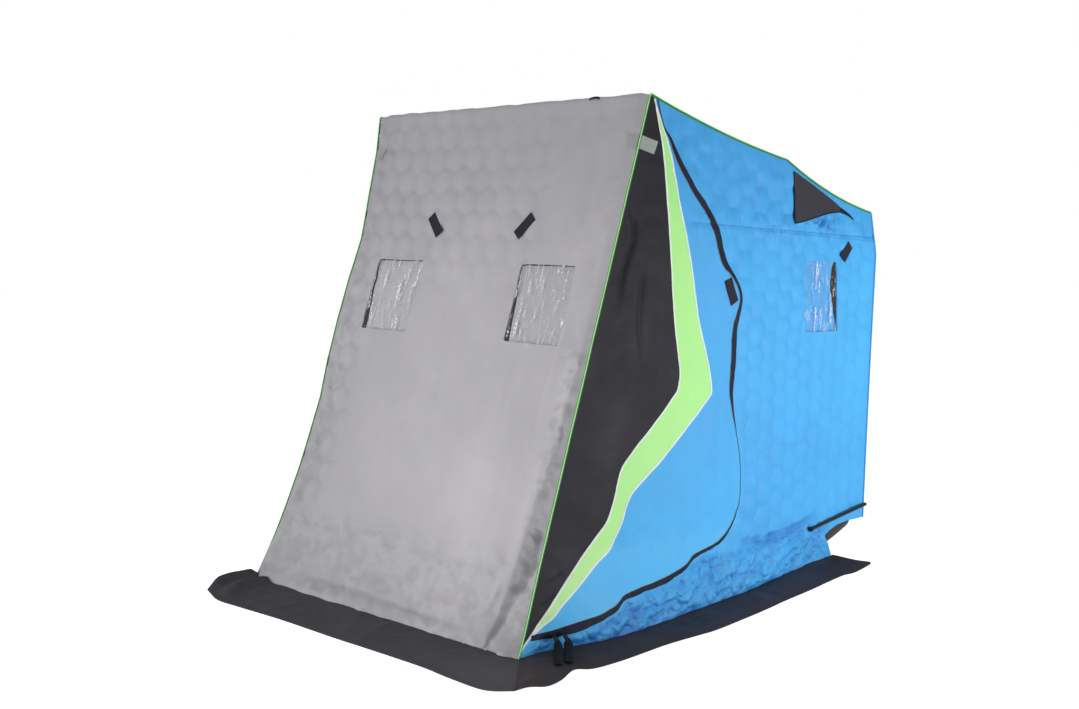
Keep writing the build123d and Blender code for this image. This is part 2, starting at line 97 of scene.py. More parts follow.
STRIPE_INNER = [(0.644, 1.925), (0.688, 1.820), (0.721, 1.700), (0.748, 1.547), (0.786, 1.340),
                (0.826, 1.130), (0.849, 1.022), (0.869, 0.935), (0.862, 0.870), (0.836, 0.839),
                (0.722, 0.744), (0.598, 0.654), (0.533, 0.593), (0.507, 0.530), (0.497, 0.498),
                (0.470, 0.436), (0.445, 0.400), (0.380, 0.350), (0.252, 0.242), (0.136, 0.136),
                (0.018, 0.032)]
STRIPE_OUTER = [(0.644, 1.925), (0.715, 1.830), (0.755, 1.754), (0.820, 1.580), (0.920, 1.343),
                (0.990, 1.127), (1.039, 1.016), (1.078, 0.904), (1.090, 0.850), (1.075, 0.818),
                (0.958, 0.726), (0.783, 0.602), (0.639, 0.515), (0.590, 0.478), (0.565, 0.440),
                (0.545, 0.392), (0.501, 0.332), (0.470, 0.298), (0.382, 0.254), (0.222, 0.154),
                (0.157, 0.106), (0.056, 0.058), (0.012, 0.014)]
HOOD = [(1.628, 1.751), (1.639, 1.629), (1.648, 1.532), (1.706, 1.541), (1.831, 1.567), (1.944, 1.590),
        (2.034, 1.599), (2.040, 1.622), (1.965, 1.649), (1.792, 1.703)]
HOOD_TOP = np.array([HOOD[0], HOOD[7]])
VENT_TAIL = [(2.020, 1.611), (2.060, 1.607), (2.120, 1.593), (2.180, 1.572)]
NOTCH = [(2.359, 0.157), (2.273, 0.158), (2.218, 0.156), (2.161, 0.150), (2.112, 0.139), (2.061, 0.118)]
NOTCH_FOOT = [(2.061, 0.118), (2.100, 0.064), (2.140, 0.012)]
GROUND_LINE = [(2.140, 0.012), (1.95, 0.008), (1.6, 0.002), (1.3, 0.0), (0.7, 0.0), (0.0, 0.0)]
SIDE_SLIT = [(2.080, 1.050), (2.072, 1.103), (2.058, 1.149), (2.036, 1.194), (2.024, 1.239), (2.014, 1.284),
             (2.020, 1.329), (2.040, 1.374), (2.052, 1.390)]
SIDE_TAB = [(2.140, 1.473), (2.181, 1.442), (2.117, 1.376), (2.072, 1.407)]
ZIP_PATCH = [(1.141, 1.280), (1.190, 1.295), (1.246, 1.205), (1.196, 1.182)]
REFLECTIVE_SIDE = [(0.676, 1.786), (0.658, 1.738)]
# name, start, end and half width of the stitched seams
SEAMS = [("seam_upper", (0.893, 1.502), (2.40, 1.496), 0.0022),
         ("seam_lower", (1.42, 1.490), (2.41, 1.480), 0.0014)]
# width of the stripe's white borders, by height
BORDER_HEIGHT, BORDER_WIDTH = [0.1, 0.5, 1.2, 1.75, 1.85], [0.0085, 0.0080, 0.0072, 0.0085, 0.006]

# ---- outlines on the front wall, as (x, height), and how far its window covers reach past the corners ----
REFLECTIVE_FRONT = [(0.678, 1.806), (0.735, 1.800), (0.734, 1.752), (0.690, 1.758)]
FRONT_COVER_PAST = [(0.021, -0.010), (0.02, -0.01), (0.02, -0.0012), (-0.004, -0.0030)]

# ---- outlines of the skirts on the ground, as (x, setback) ----
SKIRT_HEM = [(-0.728, -0.012), (-0.672, -0.040), (-0.54, -0.047), (-0.217, -0.038), (0.179, -0.028),
             (0.436, -0.022), (0.70, -0.010), (0.745, 0.0)]
SKIRT_LEFT_END = [(-0.66, -0.299), (-0.70, -0.23), (-0.725, -0.15), (-0.722, -0.09), (-0.728, -0.012)]
SKIRT_FRONT = [(-0.66, -0.299), (-0.622, -0.312), (-0.51, -0.347), (-0.386, -0.340), (-0.228, -0.326),
               (-0.069, -0.316), (0.165, -0.309), (0.376, -0.297), (0.575, -0.289), (0.716, -0.297),
               (0.841, -0.297), (0.895, -0.280), (0.943, -0.228)]
SKIRT_SIDE = [(0.943, -0.228), (0.950, -0.170), (0.984, -0.122), (0.976, -0.046), (0.939, 0.060),
              (0.969, 0.102), (0.984, 0.157), (0.991, 0.299), (0.989, 0.504), (1.006, 0.693),
              (1.012, 0.790), (1.003, 0.977), (0.990, 1.199), (0.977, 1.326), (0.961, 1.576),
              (0.937, 1.864), (0.946, 1.971), (0.923, 2.152), (0.905, 2.200)]

# ---- curves in space, as (x, setback, height): the zip pulls with their half width, the ridge loop ----
ZIP_PULLS = [[(0.768, 0.148, 0.062), (0.776, 0.152, 0.046), (0.788, 0.150, 0.034), (0.822, 0.112, 0.020),
              (0.868, 0.062, 0.014), (0.892, 0.036, 0.013)],
             [(0.778, 0.188, 0.064), (0.788, 0.192, 0.046), (0.800, 0.190, 0.034), (0.834, 0.152, 0.020),
              (0.876, 0.106, 0.014), (0.900, 0.080, 0.013)]]
ZIP_PULL_SHARE = [0, 0.05, 0.12, 0.16, 0.24, 0.95, 1.0]
ZIP_PULL_WIDTH = [0.008, 0.012, 0.012, 0.012, 0.0152, 0.0152, 0.009]
LEFT_PULL_X, LEFT_PULL_SETBACK, LEFT_PULL_GAP = 0.795, 0.15, 0.04
RIDGE_LOOP_X = 0.484
RIDGE_LOOP = [(-0.022, 0.0, -0.003), (-0.014, 0.0, 0.003), (0.0, 0.0, 0.0055), (0.014, 0.0, 0.005),
              (0.022, 0.0, -0.002)]

# ---- dents and creases ----
# the front's dented foot: a ridge, a valley beside it, the painted shade that darkens the dent and how deep
# it lies, by height
DENT_HEIGHT = [0.00, 0.10, 0.20, 0.30, 0.40, 0.50, 0.65, 0.90, 1.40, 1.75]
DENT_RIDGE = [0.575, 0.592, 0.614, 0.628, 0.628, 0.645, 0.672, 0.690, 0.700, 0.700]
DENT_VALLEY = [0.588, 0.624, 0.664, 0.702, 0.735, 0.800, 0.880, 0.915, 0.920, 0.920]
DENT_SHADE = [0.06, 0.12, 0.17, 0.20, 0.21, 0.24, 0.25, 0.18, 0.05, 0.00]
DENT_DEPTH = [0.012, 0.026, 0.038, 0.044, 0.044, 0.044, 0.044, 0.034, 0.016, 0.000]
# creases pressed into the cloth: (line, depth, width before the line, width after it)
FRONT_FOLDS = [
    ([(-0.582, 0.050), (-0.322, 0.058), (0.011, 0.053), (0.338, 0.047), (0.578, 0.050)], 0.009, 0.040, 0.014),
    ([(-0.660, 0.800), (-0.640, 0.500), (-0.655, 0.277), (-0.690, 0.137)], 0.003, 0.050, 0.030),
    ([(0.633, 0.400), (0.672, 0.408), (0.709, 0.450), (0.760, 0.462)], -0.007, 0.014, 0.014),
    ([(0.640, 0.330), (0.665, 0.318), (0.690, 0.335)], -0.006, 0.012, 0.012),
    ([(0.612, 0.185), (0.640, 0.190), (0.676, 0.205)], -0.007, 0.012, 0.012),
    ([(0.676, 0.776), (0.700, 0.740), (0.712, 0.660)], 0.007, 0.014, 0.014),
    ([(0.700, 0.610), (0.745, 0.640), (0.790, 0.640)], 0.006, 0.015, 0.015),
    ([(0.720, 0.560), (0.735, 0.470), (0.760, 0.420)], -0.006, 0.016, 0.016),
    ([(0.595, 0.235), (0.575, 0.150), (0.550, 0.075)], 0.006, 0.018, 0.036),
    ([(0.600, 1.250), (0.590, 1.050), (0.575, 0.900), (0.560, 0.720)], -0.004, 0.018, 0.018),
    ([(-0.616, 0.467), (-0.560, 0.485), (-0.512, 0.489)], 0.003, 0.012, 0.012),
]
SIDE_FOLDS = [
    ([(0.538, 1.615), (0.549, 1.529), (0.576, 1.479), (0.574, 1.420), (0.547, 1.368), (0.522, 1.294),
      (0.514, 1.228), (0.494, 1.155)], 0.010, 0.014, 0.026),
    ([(0.625, 1.385), (0.630, 1.295), (0.618, 1.191), (0.619, 1.078), (0.645, 0.965)], 0.007, 0.020, 0.020),
    ([(0.090, 0.150), (0.150, 0.165), (0.190, 0.190)], 0.004, 0.018, 0.014),
    ([(0.130, 0.225), (0.190, 0.235), (0.240, 0.262)], 0.003, 0.018, 0.015),
    ([(0.060, 0.090), (0.100, 0.100), (0.135, 0.122)], 0.004, 0.012, 0.010),
    ([(1.55, 0.585), (1.75, 0.570), (1.92, 0.580)], 0.0025, 0.010, 0.020),
    ([(1.30, 0.200), (1.55, 0.185), (1.80, 0.200), (2.02, 0.235)], 0.012, 0.040, 0.025),
]


# ---- numbers ----
def smooth(value):
    t = np.clip(value, 0, 1)
    return t * t * (3 - 2 * t)


def rise(value, start, width):
    """0 up to the start, 1 from the width beyond it, with a smooth step between."""
    return smooth((value - start) / width)


def fall(value, start, width):
    """1 up to the start and 0 from the width beyond it."""
    return 1 - rise(value, start, width)


def bell(value, middle, width):
    """1 at the middle, dying out to both sides."""
    return np.exp(-(((value - middle) / width) ** 2))


def unit(vectors):
    """The same directions at length 1."""
    return vectors / np.maximum(np.linalg.norm(vectors, axis=1)[:, None], 1e-12)


def lattice_noise(u, v, seed):
    """Smooth noise between 0 and 1 with one cell per unit."""
    table = np.random.default_rng(seed).random((64, 64))
    iu, iv = np.floor(u).astype(int), np.floor(v).astype(int)
    fu, fv = smooth(u - iu), smooth(v - iv)
    low = table[iu % 64, iv % 64] * (1 - fu) + table[(iu + 1) % 64, iv % 64] * fu
    high = table[iu % 64, (iv + 1) % 64] * (1 - fu) + table[(iu + 1) % 64, (iv + 1) % 64] * fu
    return low * (1 - fv) + high * fv


def layered_noise(u, v, seed, layers=2):
    """Noise between 0 and 1, with layers of half the size and half the height."""
    total = sum(lattice_noise(u * 2**k, v * 2**k, seed + k) / 2**k for k in range(layers))
    return total / (2 - 2.0 ** (1 - layers))


def wobble(u, v, seed, layers=2):
    """Noise around 0."""
    return layered_noise(u, v, seed, layers) - 0.5


def ridges(u, v, seed, sharpness):
    """Creases: 1 along the crest lines of the noise, 0 away from them."""
    return (1 - np.abs(2 * layered_noise(u, v, seed, 2) - 1)) ** sharpness


def rucks_of(u, v, seed, sharpness):
    """Creases around 0."""
    return ridges(u, v, seed, sharpness) - 0.5


def spline(points, step=GRID):
    """Catmull-Rom curve through points, sampled evenly."""
    p = np.array(points, float)
    p = np.vstack([2 * p[0] - p[1], p, 2 * p[-1] - p[-2]])
    dense = []
    for k in range(1, len(p) - 2):
        t = np.linspace(0, 1, 24, endpoint=False)[:, None]
        a, b, c, d = p[k - 1: k + 3]
        bent = (2 * a - 5 * b + 4 * c - d) * t**2 + (3 * b - a - 3 * c + d) * t**3
        dense.append(0.5 * (2 * b + (c - a) * t + bent))
    return resample(np.vstack([*dense, p[-2][None]]), step)


def lengths(path):
    """Length along a path at each of its points."""
    return np.concatenate([[0], np.cumsum(np.linalg.norm(np.diff(path, axis=0), axis=1))])


def resample(path, step=GRID):
    """A path's line as evenly spaced points."""
    along = lengths(path)
    count = max(2, int(round(along[-1] / step)) + 1)
    places = np.linspace(0, along[-1], count)
    return np.column_stack([np.interp(places, along, path[:, k]) for k in range(path.shape[1])])


def join(*paths):
    """Paths one after another into a loop, with no point twice."""
    points = np.vstack(paths)
    keep = np.linalg.norm(points - np.roll(points, 1, axis=0), axis=1) > 1e-5
    return points[keep]


def straight(a, b, step=GRID):
    return resample(np.array([a, b], float), step)


def distance_to(points, path):
    """Distance from each point to a polyline."""
    best = np.full(len(points), np.inf)
    for a, b in zip(path[:-1], path[1:]):
        ab = b - a
        t = np.clip(((points - a) @ ab) / max(ab @ ab, 1e-12), 0, 1)
        best = np.minimum(best, np.linalg.norm(points - a - t[:, None] * ab, axis=1))
    return best


def fold(points, line, depth, before, after):
    """Height of a crease along a line: sharp at its bottom, fading out at its ends."""
    path = np.array(line, float)
    best, signed = np.full(len(points), np.inf), np.zeros(len(points))
    for a, b in zip(path[:-1], path[1:]):
        ab = b - a
        offset = points - a
        share = np.clip((offset @ ab) / (ab @ ab), 0, 1)
        away = np.linalg.norm(offset - share[:, None] * ab, axis=1)
        turn = np.sign(ab[0] * offset[:, 1] - ab[1] * offset[:, 0])
        closer = away < best
        best[closer], signed[closer] = away[closer], (away * turn)[closer]
    ends = np.minimum(np.linalg.norm(points - path[0], axis=1), np.linalg.norm(points - path[-1], axis=1))
    width = np.where(signed < 0, before, after)
    return -depth * np.clip(1 - best / width, 0, 1) ** 1.2 * smooth(ends / (0.3 * lengths(path)[-1]))


def inside(points, loop):
    """Which points lie inside a closed loop."""
    result = np.zeros(len(points), bool)
    x, y = points[:, 0], points[:, 1]
    for (ax, ay), (bx, by) in zip(loop, np.roll(loop, -1, axis=0)):
        if ay == by:
            continue
        result ^= ((ay > y) != (by > y)) & (x < (bx - ax) * (y - ay) / (by - ay) + ax)
    return result


def area_of(loop, holes=()):
    x, y = loop[:, 0], loop[:, 1]
    area = abs(float(x @ np.roll(y, -1) - y @ np.roll(x, -1))) / 2
    return area - sum(area_of(hole) for hole in holes)


def cut_size(loop):
    """Width and length of the smallest rectangle of cloth that a flat region can be cut from."""
    best = None
    for angle in np.radians(np.arange(0, 90, 3)):
        turn = np.array([[math.cos(angle), -math.sin(angle)], [math.sin(angle), math.cos(angle)]])
        spread = np.ptp(loop @ turn, axis=0)
        if best is None or spread[0] * spread[1] < best[0] * best[1]:
            best = spread
    return float(min(best)), float(max(best))


def staggered(low, high, step):
    """Points of a triangular grid over a rectangle."""
    rows = np.arange(low[1], high[1], step * 0.87)
    columns = np.arange(low[0], high[0], step)
    x, y = np.meshgrid(columns, rows)
    x = x + (np.arange(len(rows)) % 2)[:, None] * step / 2
    return np.column_stack([x.ravel(), y.ravel()])


def triangulated(loop, holes=(), step=GRID, fine=None):
    """Triangles over a flat region, on a staggered grid that is twice as dense where fine(points) is true."""
    low, high = loop.min(axis=0), loop.max(axis=0)
    grid = staggered(low, high, step)
    if fine is not None:
        dense = staggered(low, high, step / 2)
        grid = np.vstack([grid[~fine(grid)], dense[fine(dense)]])
    grid = grid[inside(grid, loop)]
    for ring in (loop, *holes):
        grid = grid[distance_to(grid, np.vstack([ring, ring[:1]])) > 0.45 * step]
    for hole in holes:
        grid = grid[~inside(grid, hole)]
    points, edges = [], []
    for ring in (loop, *holes):
        first = len(points)
        points.extend(map(tuple, ring))
        edges.extend((first + k, first + (k + 1) % len(ring)) for k in range(len(ring)))
    points.extend(map(tuple, grid))
    made, _, faces, *_ = geometry.delaunay_2d_cdt([Vector(p) for p in points], edges, [], 1, 1e-6)
    made = np.array([tuple(p) for p in made])
    faces = np.array([f for f in faces if len(f) == 3])
    middles = made[faces].mean(axis=1)
    for hole in holes:
        keep = ~inside(middles, hole)
        faces, middles = faces[keep], middles[keep]
    a, b, c = made[faces[:, 0]], made[faces[:, 1]], made[faces[:, 2]]
    turned = (b[:, 0] - a[:, 0]) * (c[:, 1] - a[:, 1]) - (b[:, 1] - a[:, 1]) * (c[:, 0] - a[:, 0])
    faces[turned < 0] = faces[turned < 0][:, ::-1]
    return made, faces


# ---- the shell's profile ----
def arc_between(start, end, sag):
    """Arc between two points; a positive sag bends it into the hut."""
    a, b = np.array(start, float), np.array(end, float)
    chord = b - a
    normal = np.array([chord[1], -chord[0]]) / np.linalg.norm(chord)
    t = np.linspace(0, 1, 60)[:, None]
    return a + chord * t + normal * sag * 4 * t * (1 - t)


def make_profile():
    """The line that the centre cloth follows over the bows, and its length up to the peak."""
    peak = (PEAK_SETBACK, PEAK_HEIGHT)
    pieces = [
        arc_between((0, 0), peak, FRONT_SAG),
        arc_between(peak, ROOF_BOW, ROOF_SAG)[1:],
        arc_between(ROOF_BOW, REAR_BOW, REAR_SAG)[1:],
        arc_between(REAR_BOW, SHOULDER, 0.0)[1:],
        arc_between(SHOULDER, BACK_HEM, BACK_SAG)[1:],
    ]
    path = resample(np.vstack(pieces), 0.004)
    reach = 5
    weights = np.exp(-0.5 * (np.arange(-reach, reach + 1) / 0.9) ** 2)
    padded = np.vstack([2 * path[0] - path[reach:0:-1], path, 2 * path[-1] - path[-2:-reach - 2:-1]])
    rounded = np.column_stack([np.convolve(padded[:, k], weights / weights.sum(), "valid") for k in (0, 1)])
    rounded[0], rounded[-1] = path[0], path[-1]
    return rounded


PROFILE = make_profile()
PROFILE_ALONG = lengths(PROFILE)
PEAK_INDEX = int(np.argmax(PROFILE[:, 1]))
PEAK_ALONG = PROFILE_ALONG[PEAK_INDEX]
RISING, RISING_ALONG = PROFILE[: PEAK_INDEX + 1], PROFILE_ALONG[: PEAK_INDEX + 1]


def on_profile(along):
    """(setback, height) and outward normal at a length along the profile."""
    spot, ahead, behind = (
        np.column_stack([np.interp(along + shift, PROFILE_ALONG, PROFILE[:, k]) for k in (0, 1)])
        for shift in (0, 0.004, -0.004))
    way = unit(ahead - behind)
    return spot, np.column_stack([-way[:, 1], way[:, 0]])


def front_setback(height):
    """Setback of the front wall at a height."""
    return np.interp(height, RISING[:, 1], RISING[:, 0])


def height_at(along):
    """Height of the front wall at a length along the profile."""
    return np.interp(along, RISING_ALONG, RISING[:, 1])


def along_at(height):
    """Length along the profile at which the front wall reaches a height."""
    return float(np.interp(height, RISING[:, 1], RISING_ALONG))


# ---- the side walls' shape ----
POLES = [np.array(line) for line in (
    [(0.07, 0.01), (1.85, 0.45)], [(0.63, 1.925), (1.85, 0.45)],
    [(1.59, 1.78), (1.85, 0.45)], [(2.33, 1.59), (1.85, 0.45)])]
HEM_SETBACK = [-0.1, 0.0, 0.13, 0.30, 0.46, 0.76, 1.04, 1.31, 1.60, 1.94, 2.22, 2.5]
HEM_OUT = [0.000, 0.004, 0.010, 0.058, 0.086, 0.080, 0.068, 0.058, 0.028, 0.000, 0.000, 0.000]
ZIPPER_FOOT = np.array([p[:2] for p in ZIPPER[:15]] + [(1.20, 0.20), (3.0, 0.20)])
HEM_HEIGHT = [(0.0, 0.0), (1.3, 0.0), (1.6, 0.002), (1.95, 0.008), (2.142, 0.010), (2.3, 0.008)]
HEM_BULGE_TOP = 0.34
QUILT_PITCH, QUILT_ROW, QUILT_START = 0.107, 0.104, (0.016, 0.156)


def quilt(u, v, pitch, row, start):
    """Hexagonal puffs of the quilting in staggered rows: 0 along the hollows, 1 on the crowns."""
    u = u - start[0] + 0.26 * pitch * wobble(u / 0.2, v / 0.2, 7)
    v = v - start[1] + 0.26 * pitch * wobble(u / 0.2 + 5, v / 0.2, 8)
    nearest = np.full(np.shape(u), np.inf)
    for shift in (0, 1):
        across = u - shift * pitch / 2
        along = v - shift * row
        across = across - pitch * np.round(across / pitch)
        along = along - 2 * row * np.round(along / (2 * row))
        nearest = np.minimum(nearest, np.hypot(across, along))
    return 1 - np.clip(nearest / (0.57 * pitch), 0, 1) ** 2.4


def side_base(points, side):
    """Half width of the hut at points of the side plane, without quilting and creases."""
    s, z = points[:, 0], points[:, 1]
    from_front = np.clip(s - front_setback(z), 0, None)
    pull = np.interp(z, PULL_HEIGHT, PULL_RIGHT if side == RIGHT else PULL_LEFT)
    width = HALF - pull * (1 - smooth(from_front / 0.28))
    width += np.interp(s, HEM_SETBACK, HEM_OUT) * fall(z, 0, HEM_BULGE_TOP) ** 1.2
    return width


def slack_folds(s, z):
    """Crushed puffs of the slack cloth along the foot, and how deep in a hollow each point lies."""
    slant, across = s * 0.96 + z * 0.28, -s * 0.28 + z * 0.96
    bent = across + 0.030 * wobble(slant / 0.14, across / 0.09, 19)
    drift = slant + 0.026 * wobble(slant / 0.10, across / 0.07, 21)
    wide = ridges(drift / 0.36, bent / 0.085, 23, 1.3)
    puffs = 1 - ridges(drift / 0.092, bent / 0.042, 29, 1.3)
    small = 1 - ridges(drift / 0.040, bent / 0.021, 37, 1.4)
    hollow = 0.42 * fall(wide, 0, 0.8) + 0.36 * fall(puffs, 0, 0.45) + 0.22 * fall(small, 0, 0.45)
    return 0.018 * (wide - 0.5) + 0.014 * (np.sqrt(puffs) - 0.6) + 0.010 * (np.sqrt(small) - 0.6), hollow


def side_relief(points, side):
    """Offset of the cloth from its smooth surface, and the painted light and shade in its colour there."""
    s, z = points[:, 0], points[:, 1]
    edge = distance_to(points, PROFILE[::4])
    fade = smooth(edge / 0.09)
    poles = np.min([distance_to(points, line) for line in POLES], axis=0)
    sag = 0.005 * smooth(np.minimum(poles, edge) / 0.28) * rise(z, 0.25, 0.3)
    zipper_height = np.interp(s, ZIPPER_FOOT[:, 0], ZIPPER_FOOT[:, 1])
    zipper_setback = np.interp(z, [p[1] for p in ZIPPER], [p[0] for p in ZIPPER])
    wall = 0.22 + 0.78 * rise(s, zipper_setback, 0.05)
    cells = quilt(z, s, QUILT_PITCH, QUILT_ROW, QUILT_START)
    puff = 0.0073 * (cells - 0.6) * wall * (1 - 0.28 * rise(s, 1.6, 0.4) * fall(z, 1.2, 0.2))
    puff = puff * (0.35 + 1.1 * layered_noise(s / 0.4, z / 0.4, 11))
    high = rise(z, 1.42, 0.10) * wall
    blotch = 0.0080 * wobble(s / 0.070, z / 0.050, 17) * (0.22 * wall + 0.9 * high)
    below = 1 - smooth((z - zipper_height + 0.034) / 0.026)
    behind = rise(s, 1.20, 0.25) * (1 - smooth((z - 0.17 + 0.02 * rise(s, 1.5, 0.5)) / 0.08))
    strip = np.maximum(below, behind) * rise(s, 0.03, 0.08) * smooth((2.16 - s) / 0.16)
    slack = strip * smooth(z / 0.03)
    crush, hollow = slack_folds(s, z)
    faces_down = (crush - slack_folds(s, z - 0.006)[0]) / 0.006
    soft = 0.013 * wobble(s / 0.45, z / 0.38, 31, 3)
    seam = -0.003 * bell(z, SEAM_HEIGHT, 0.010) * rise(s, 0.86, 0.05) * smooth(edge / 0.01)
    pucker = 0.006 * ridges(s / 0.05, z / 0.12, 47, 2) * bell(z, SEAM_HEIGHT, 0.06) * rise(s, 0.86, 0.1)
    under_hood = np.exp(-((s - 1.93) / 0.17) ** 2 - ((z - 1.545) / 0.03) ** 2)
    vent = 0.040 * rucks_of(s / 0.065, z / 0.05, 53, 1.3) * under_hood
    creases = sum(fold(points, *each) for each in SIDE_FOLDS)
    gathered = fall(s, 0.30, 0.25) * fall(z, 0.25, 0.3)
    wrinkles = 0.004 * wobble(s / 0.16, z / 0.07, 91) * gathered
    relief = fade * (puff + blotch + soft + pucker + vent + creases + wrinkles)
    offset = -sag + relief + smooth(edge / 0.02) * crush * slack + seam
    # painted light and shade in the colour: shade in the slack folds' hollows, on their sides that face down
    # and at the ground, in the creases, in the quilting's valleys, under the vent hood, in the blotches' dips
    # high up and towards the top; light at middle heights; the door panel lighter at its foot and darker
    # higher up, and the wall darker along its middle
    deep = 0.66 * hollow + 0.09 + 0.30 * np.clip(faces_down, -0.5, 0.6) + 0.25 * (1 - smooth(z / 0.02))
    painted_shading = 1 - strip * deep * (1.30 - 0.40 * rise(s, 0.3, 0.6)) * (1 - 0.30 * rise(s, 1.25, 0.4))
    painted_shading = painted_shading * (1 + np.clip(creases / 0.02, -0.3, 0)) * (1 - 0.10 * rise(z, 1.15, 0.6))
    painted_shading = painted_shading * (1 - 0.06 * (1 - cells) * wall) * (1 - 0.45 * np.clip(-vent / 0.010, 0, 1))
    painted_shading *= 1 - 0.10 * (1 - smooth((blotch + 0.003) / 0.004)) * high
    painted_shading *= 1 - 0.05 * wall * rise(s, 0.9, 0.5) * fall(s, 1.9, 0.3) * (1 - strip)
    painted_shading *= 1 + (1 - wall) * (1 - strip) * (0.20 * fall(z, 0.10, 0.45) - 0.08 * rise(z, 0.5, 0.4))
    painted_shading *= 1 + 0.05 * wall * rise(z, 0.6, 0.3) * fall(z, 1.4, 0.2)
    return offset, painted_shading


def side_place(points, side, lift=0.0):
    """Places in space of side-plane points on a side wall, lifted off the cloth."""
    out = side_base(points, side) + side_relief(points, side)[0] + lift
    return np.column_stack([side * out, FRONT_Y + points[:, 0], points[:, 1]])


# ---- the centre cloth's shape: (x at full half width, length along the profile) ----
# how far the front cloth's hem is kicked forward, by the share of the half width
KICK_SHARE = [-1.0, -0.95, -0.90, -0.73, -0.30, 0.25, 0.60, 0.94, 1.0]
KICK_OUT = [0.010, 0.030, 0.042, 0.047, 0.038, 0.028, 0.022, 0.012, 0.0]


def centre_relief(points):
    """Offset of the centre cloth from its smooth surface, and the painted light and shade in its colour
    there.
    """
    x, along = points[:, 0], points[:, 1]
    on_front = 1 - smooth((along - PEAK_ALONG + 0.02) / 0.06)
    to_edge = HALF - np.abs(x)
    height = height_at(along)
    upper = np.maximum(rise(along, 1.10, 0.45), 1 - on_front)
    left = rise(-x, 0.20, 0.35) * on_front
    upper = np.maximum(upper, 0.9 * rise(-x, 0.50, 0.08) * rise(along, 0.2, 0.2) * on_front)
    upper = upper * (1 - 0.8 * rise(x, 0.28, 0.14) * on_front)
    up_front = np.where(along < PEAK_ALONG, height, PEAK_HEIGHT + along - PEAK_ALONG)
    cells = quilt(0.975 * x, up_front, 0.110, 0.092, (0.014, 0.092))
    calm = 0.3 + 0.7 * smooth(np.abs(along - PEAK_ALONG) / 0.06)
    puff = 0.0085 * (cells - 0.6) * upper * calm
    puff = puff * (0.45 + 0.9 * layered_noise(x / 0.4 + 9, along / 0.4, 61))
    borders = np.maximum(rise(-x, 0.58, 0.10), fall(along, 0.24, 0.16)) * on_front
    crushed = rise(x, 0.60, 0.06) * fall(along, 1.0, 0.4) * on_front
    rucks = 0.014 * rucks_of((x + 0.5 * along) / 0.075, (along - 0.6 * x) / 0.055, 107, 1.4) * crushed
    blotch = 0.013 * wobble(x / 0.052, along / 0.044, 65) * (0.14 + 1.15 * borders + 0.8 * crushed)
    soft = 0.010 * wobble(x / 0.45, along / 0.5, 67, 3)
    beside = bell(to_edge, 0.04, 0.045) * on_front
    edge_creases = 0.012 * rucks_of(x / 0.12, along / 0.10, 71, 1.4) * beside
    foot = bell(along, 0.03, 0.10) * on_front
    foot_creases = 0.014 * rucks_of(x / 0.16, along / 0.07, 73, 1.4) * foot
    upright = 0.010 * wobble(x / 0.07, along / 0.9, 79) * on_front
    head = 0.007 * wobble(x / 0.04, along / 0.3, 89) * np.exp(-((along - PEAK_ALONG + 0.12) / 0.09) ** 2)
    ridge, valley = np.interp(height, DENT_HEIGHT, DENT_RIDGE), np.interp(height, DENT_HEIGHT, DENT_VALLEY)
    ridge = ridge + 0.030 * wobble(height / 0.11, height * 0, 97)
    inward = np.minimum((x - ridge) / (valley - ridge), (HALF - x) / (HALF - valley))
    dent = -np.interp(height, DENT_HEIGHT, DENT_DEPTH) * np.clip(inward, 0, 1) * on_front
    shaded = np.clip((x - ridge) / 0.012, 0, 1) * np.clip((valley - x) / 0.012, 0, 1) * on_front
    shaded = shaded * np.interp(height, DENT_HEIGHT, DENT_SHADE)
    shaded = shaded * (0.6 + 0.8 * layered_noise(x / 0.06, height / 0.05, 103))
    flat = np.column_stack([x, height])
    creases = sum(fold(flat, *each) for each in FRONT_FOLDS) * on_front
    # painted light and shade in the colour: shade in the quilting's valleys, in the creases, in the dent,
    # towards the foot, on the left side, in the dips of the blotches and rucks and towards the peak; light on
    # raised folds and at the right of the foot
    painted_shading = (1 - (0.05 + 0.06 * left) * (1 - cells) * upper) * (1 + np.clip(creases / 0.04, -0.2, 0.03))
    painted_shading *= 1 - 0.9 * shaded
    painted_shading *= 1 - (0.10 + 0.10 * rise(-x, 0.2, 0.6)) * fall(along, 0.05, 0.55) * on_front
    left_middle = rise(-x, 0.05, 0.40) * rise(along, 0.15, 0.3) * fall(along, 1.5, 0.3)
    right_foot = bell(x, 0.36, 0.24) * fall(along, 0.45, 0.45)
    painted_shading *= 1 + (0.15 * right_foot - 0.075 * left_middle) * on_front
    painted_shading *= 1 - 0.06 * rise(-x, 0.38, 0.2) * bell(along, 0.62, 0.28) * on_front
    painted_shading *= 1 - 0.08 * (borders + crushed) * (1 - smooth(blotch / 0.004 + 0.5))
    painted_shading *= 1 - 0.10 * crushed * (1 - smooth(rucks / 0.004 + 0.8))
    # painted highlight along the left side of the dent's ridge
    crown = np.exp(-((x - ridge + 0.036) / 0.030) ** 2) * rise(along, 0.05, 0.15) * fall(along, 0.95, 0.3)
    painted_shading *= 1 + 0.08 * crown * on_front
    painted_shading *= 1 - 0.13 * rise(along, 1.3, 0.6) * on_front
    return puff + blotch + rucks + soft + edge_creases + foot_creases + upright + head + dent + creases, painted_shading


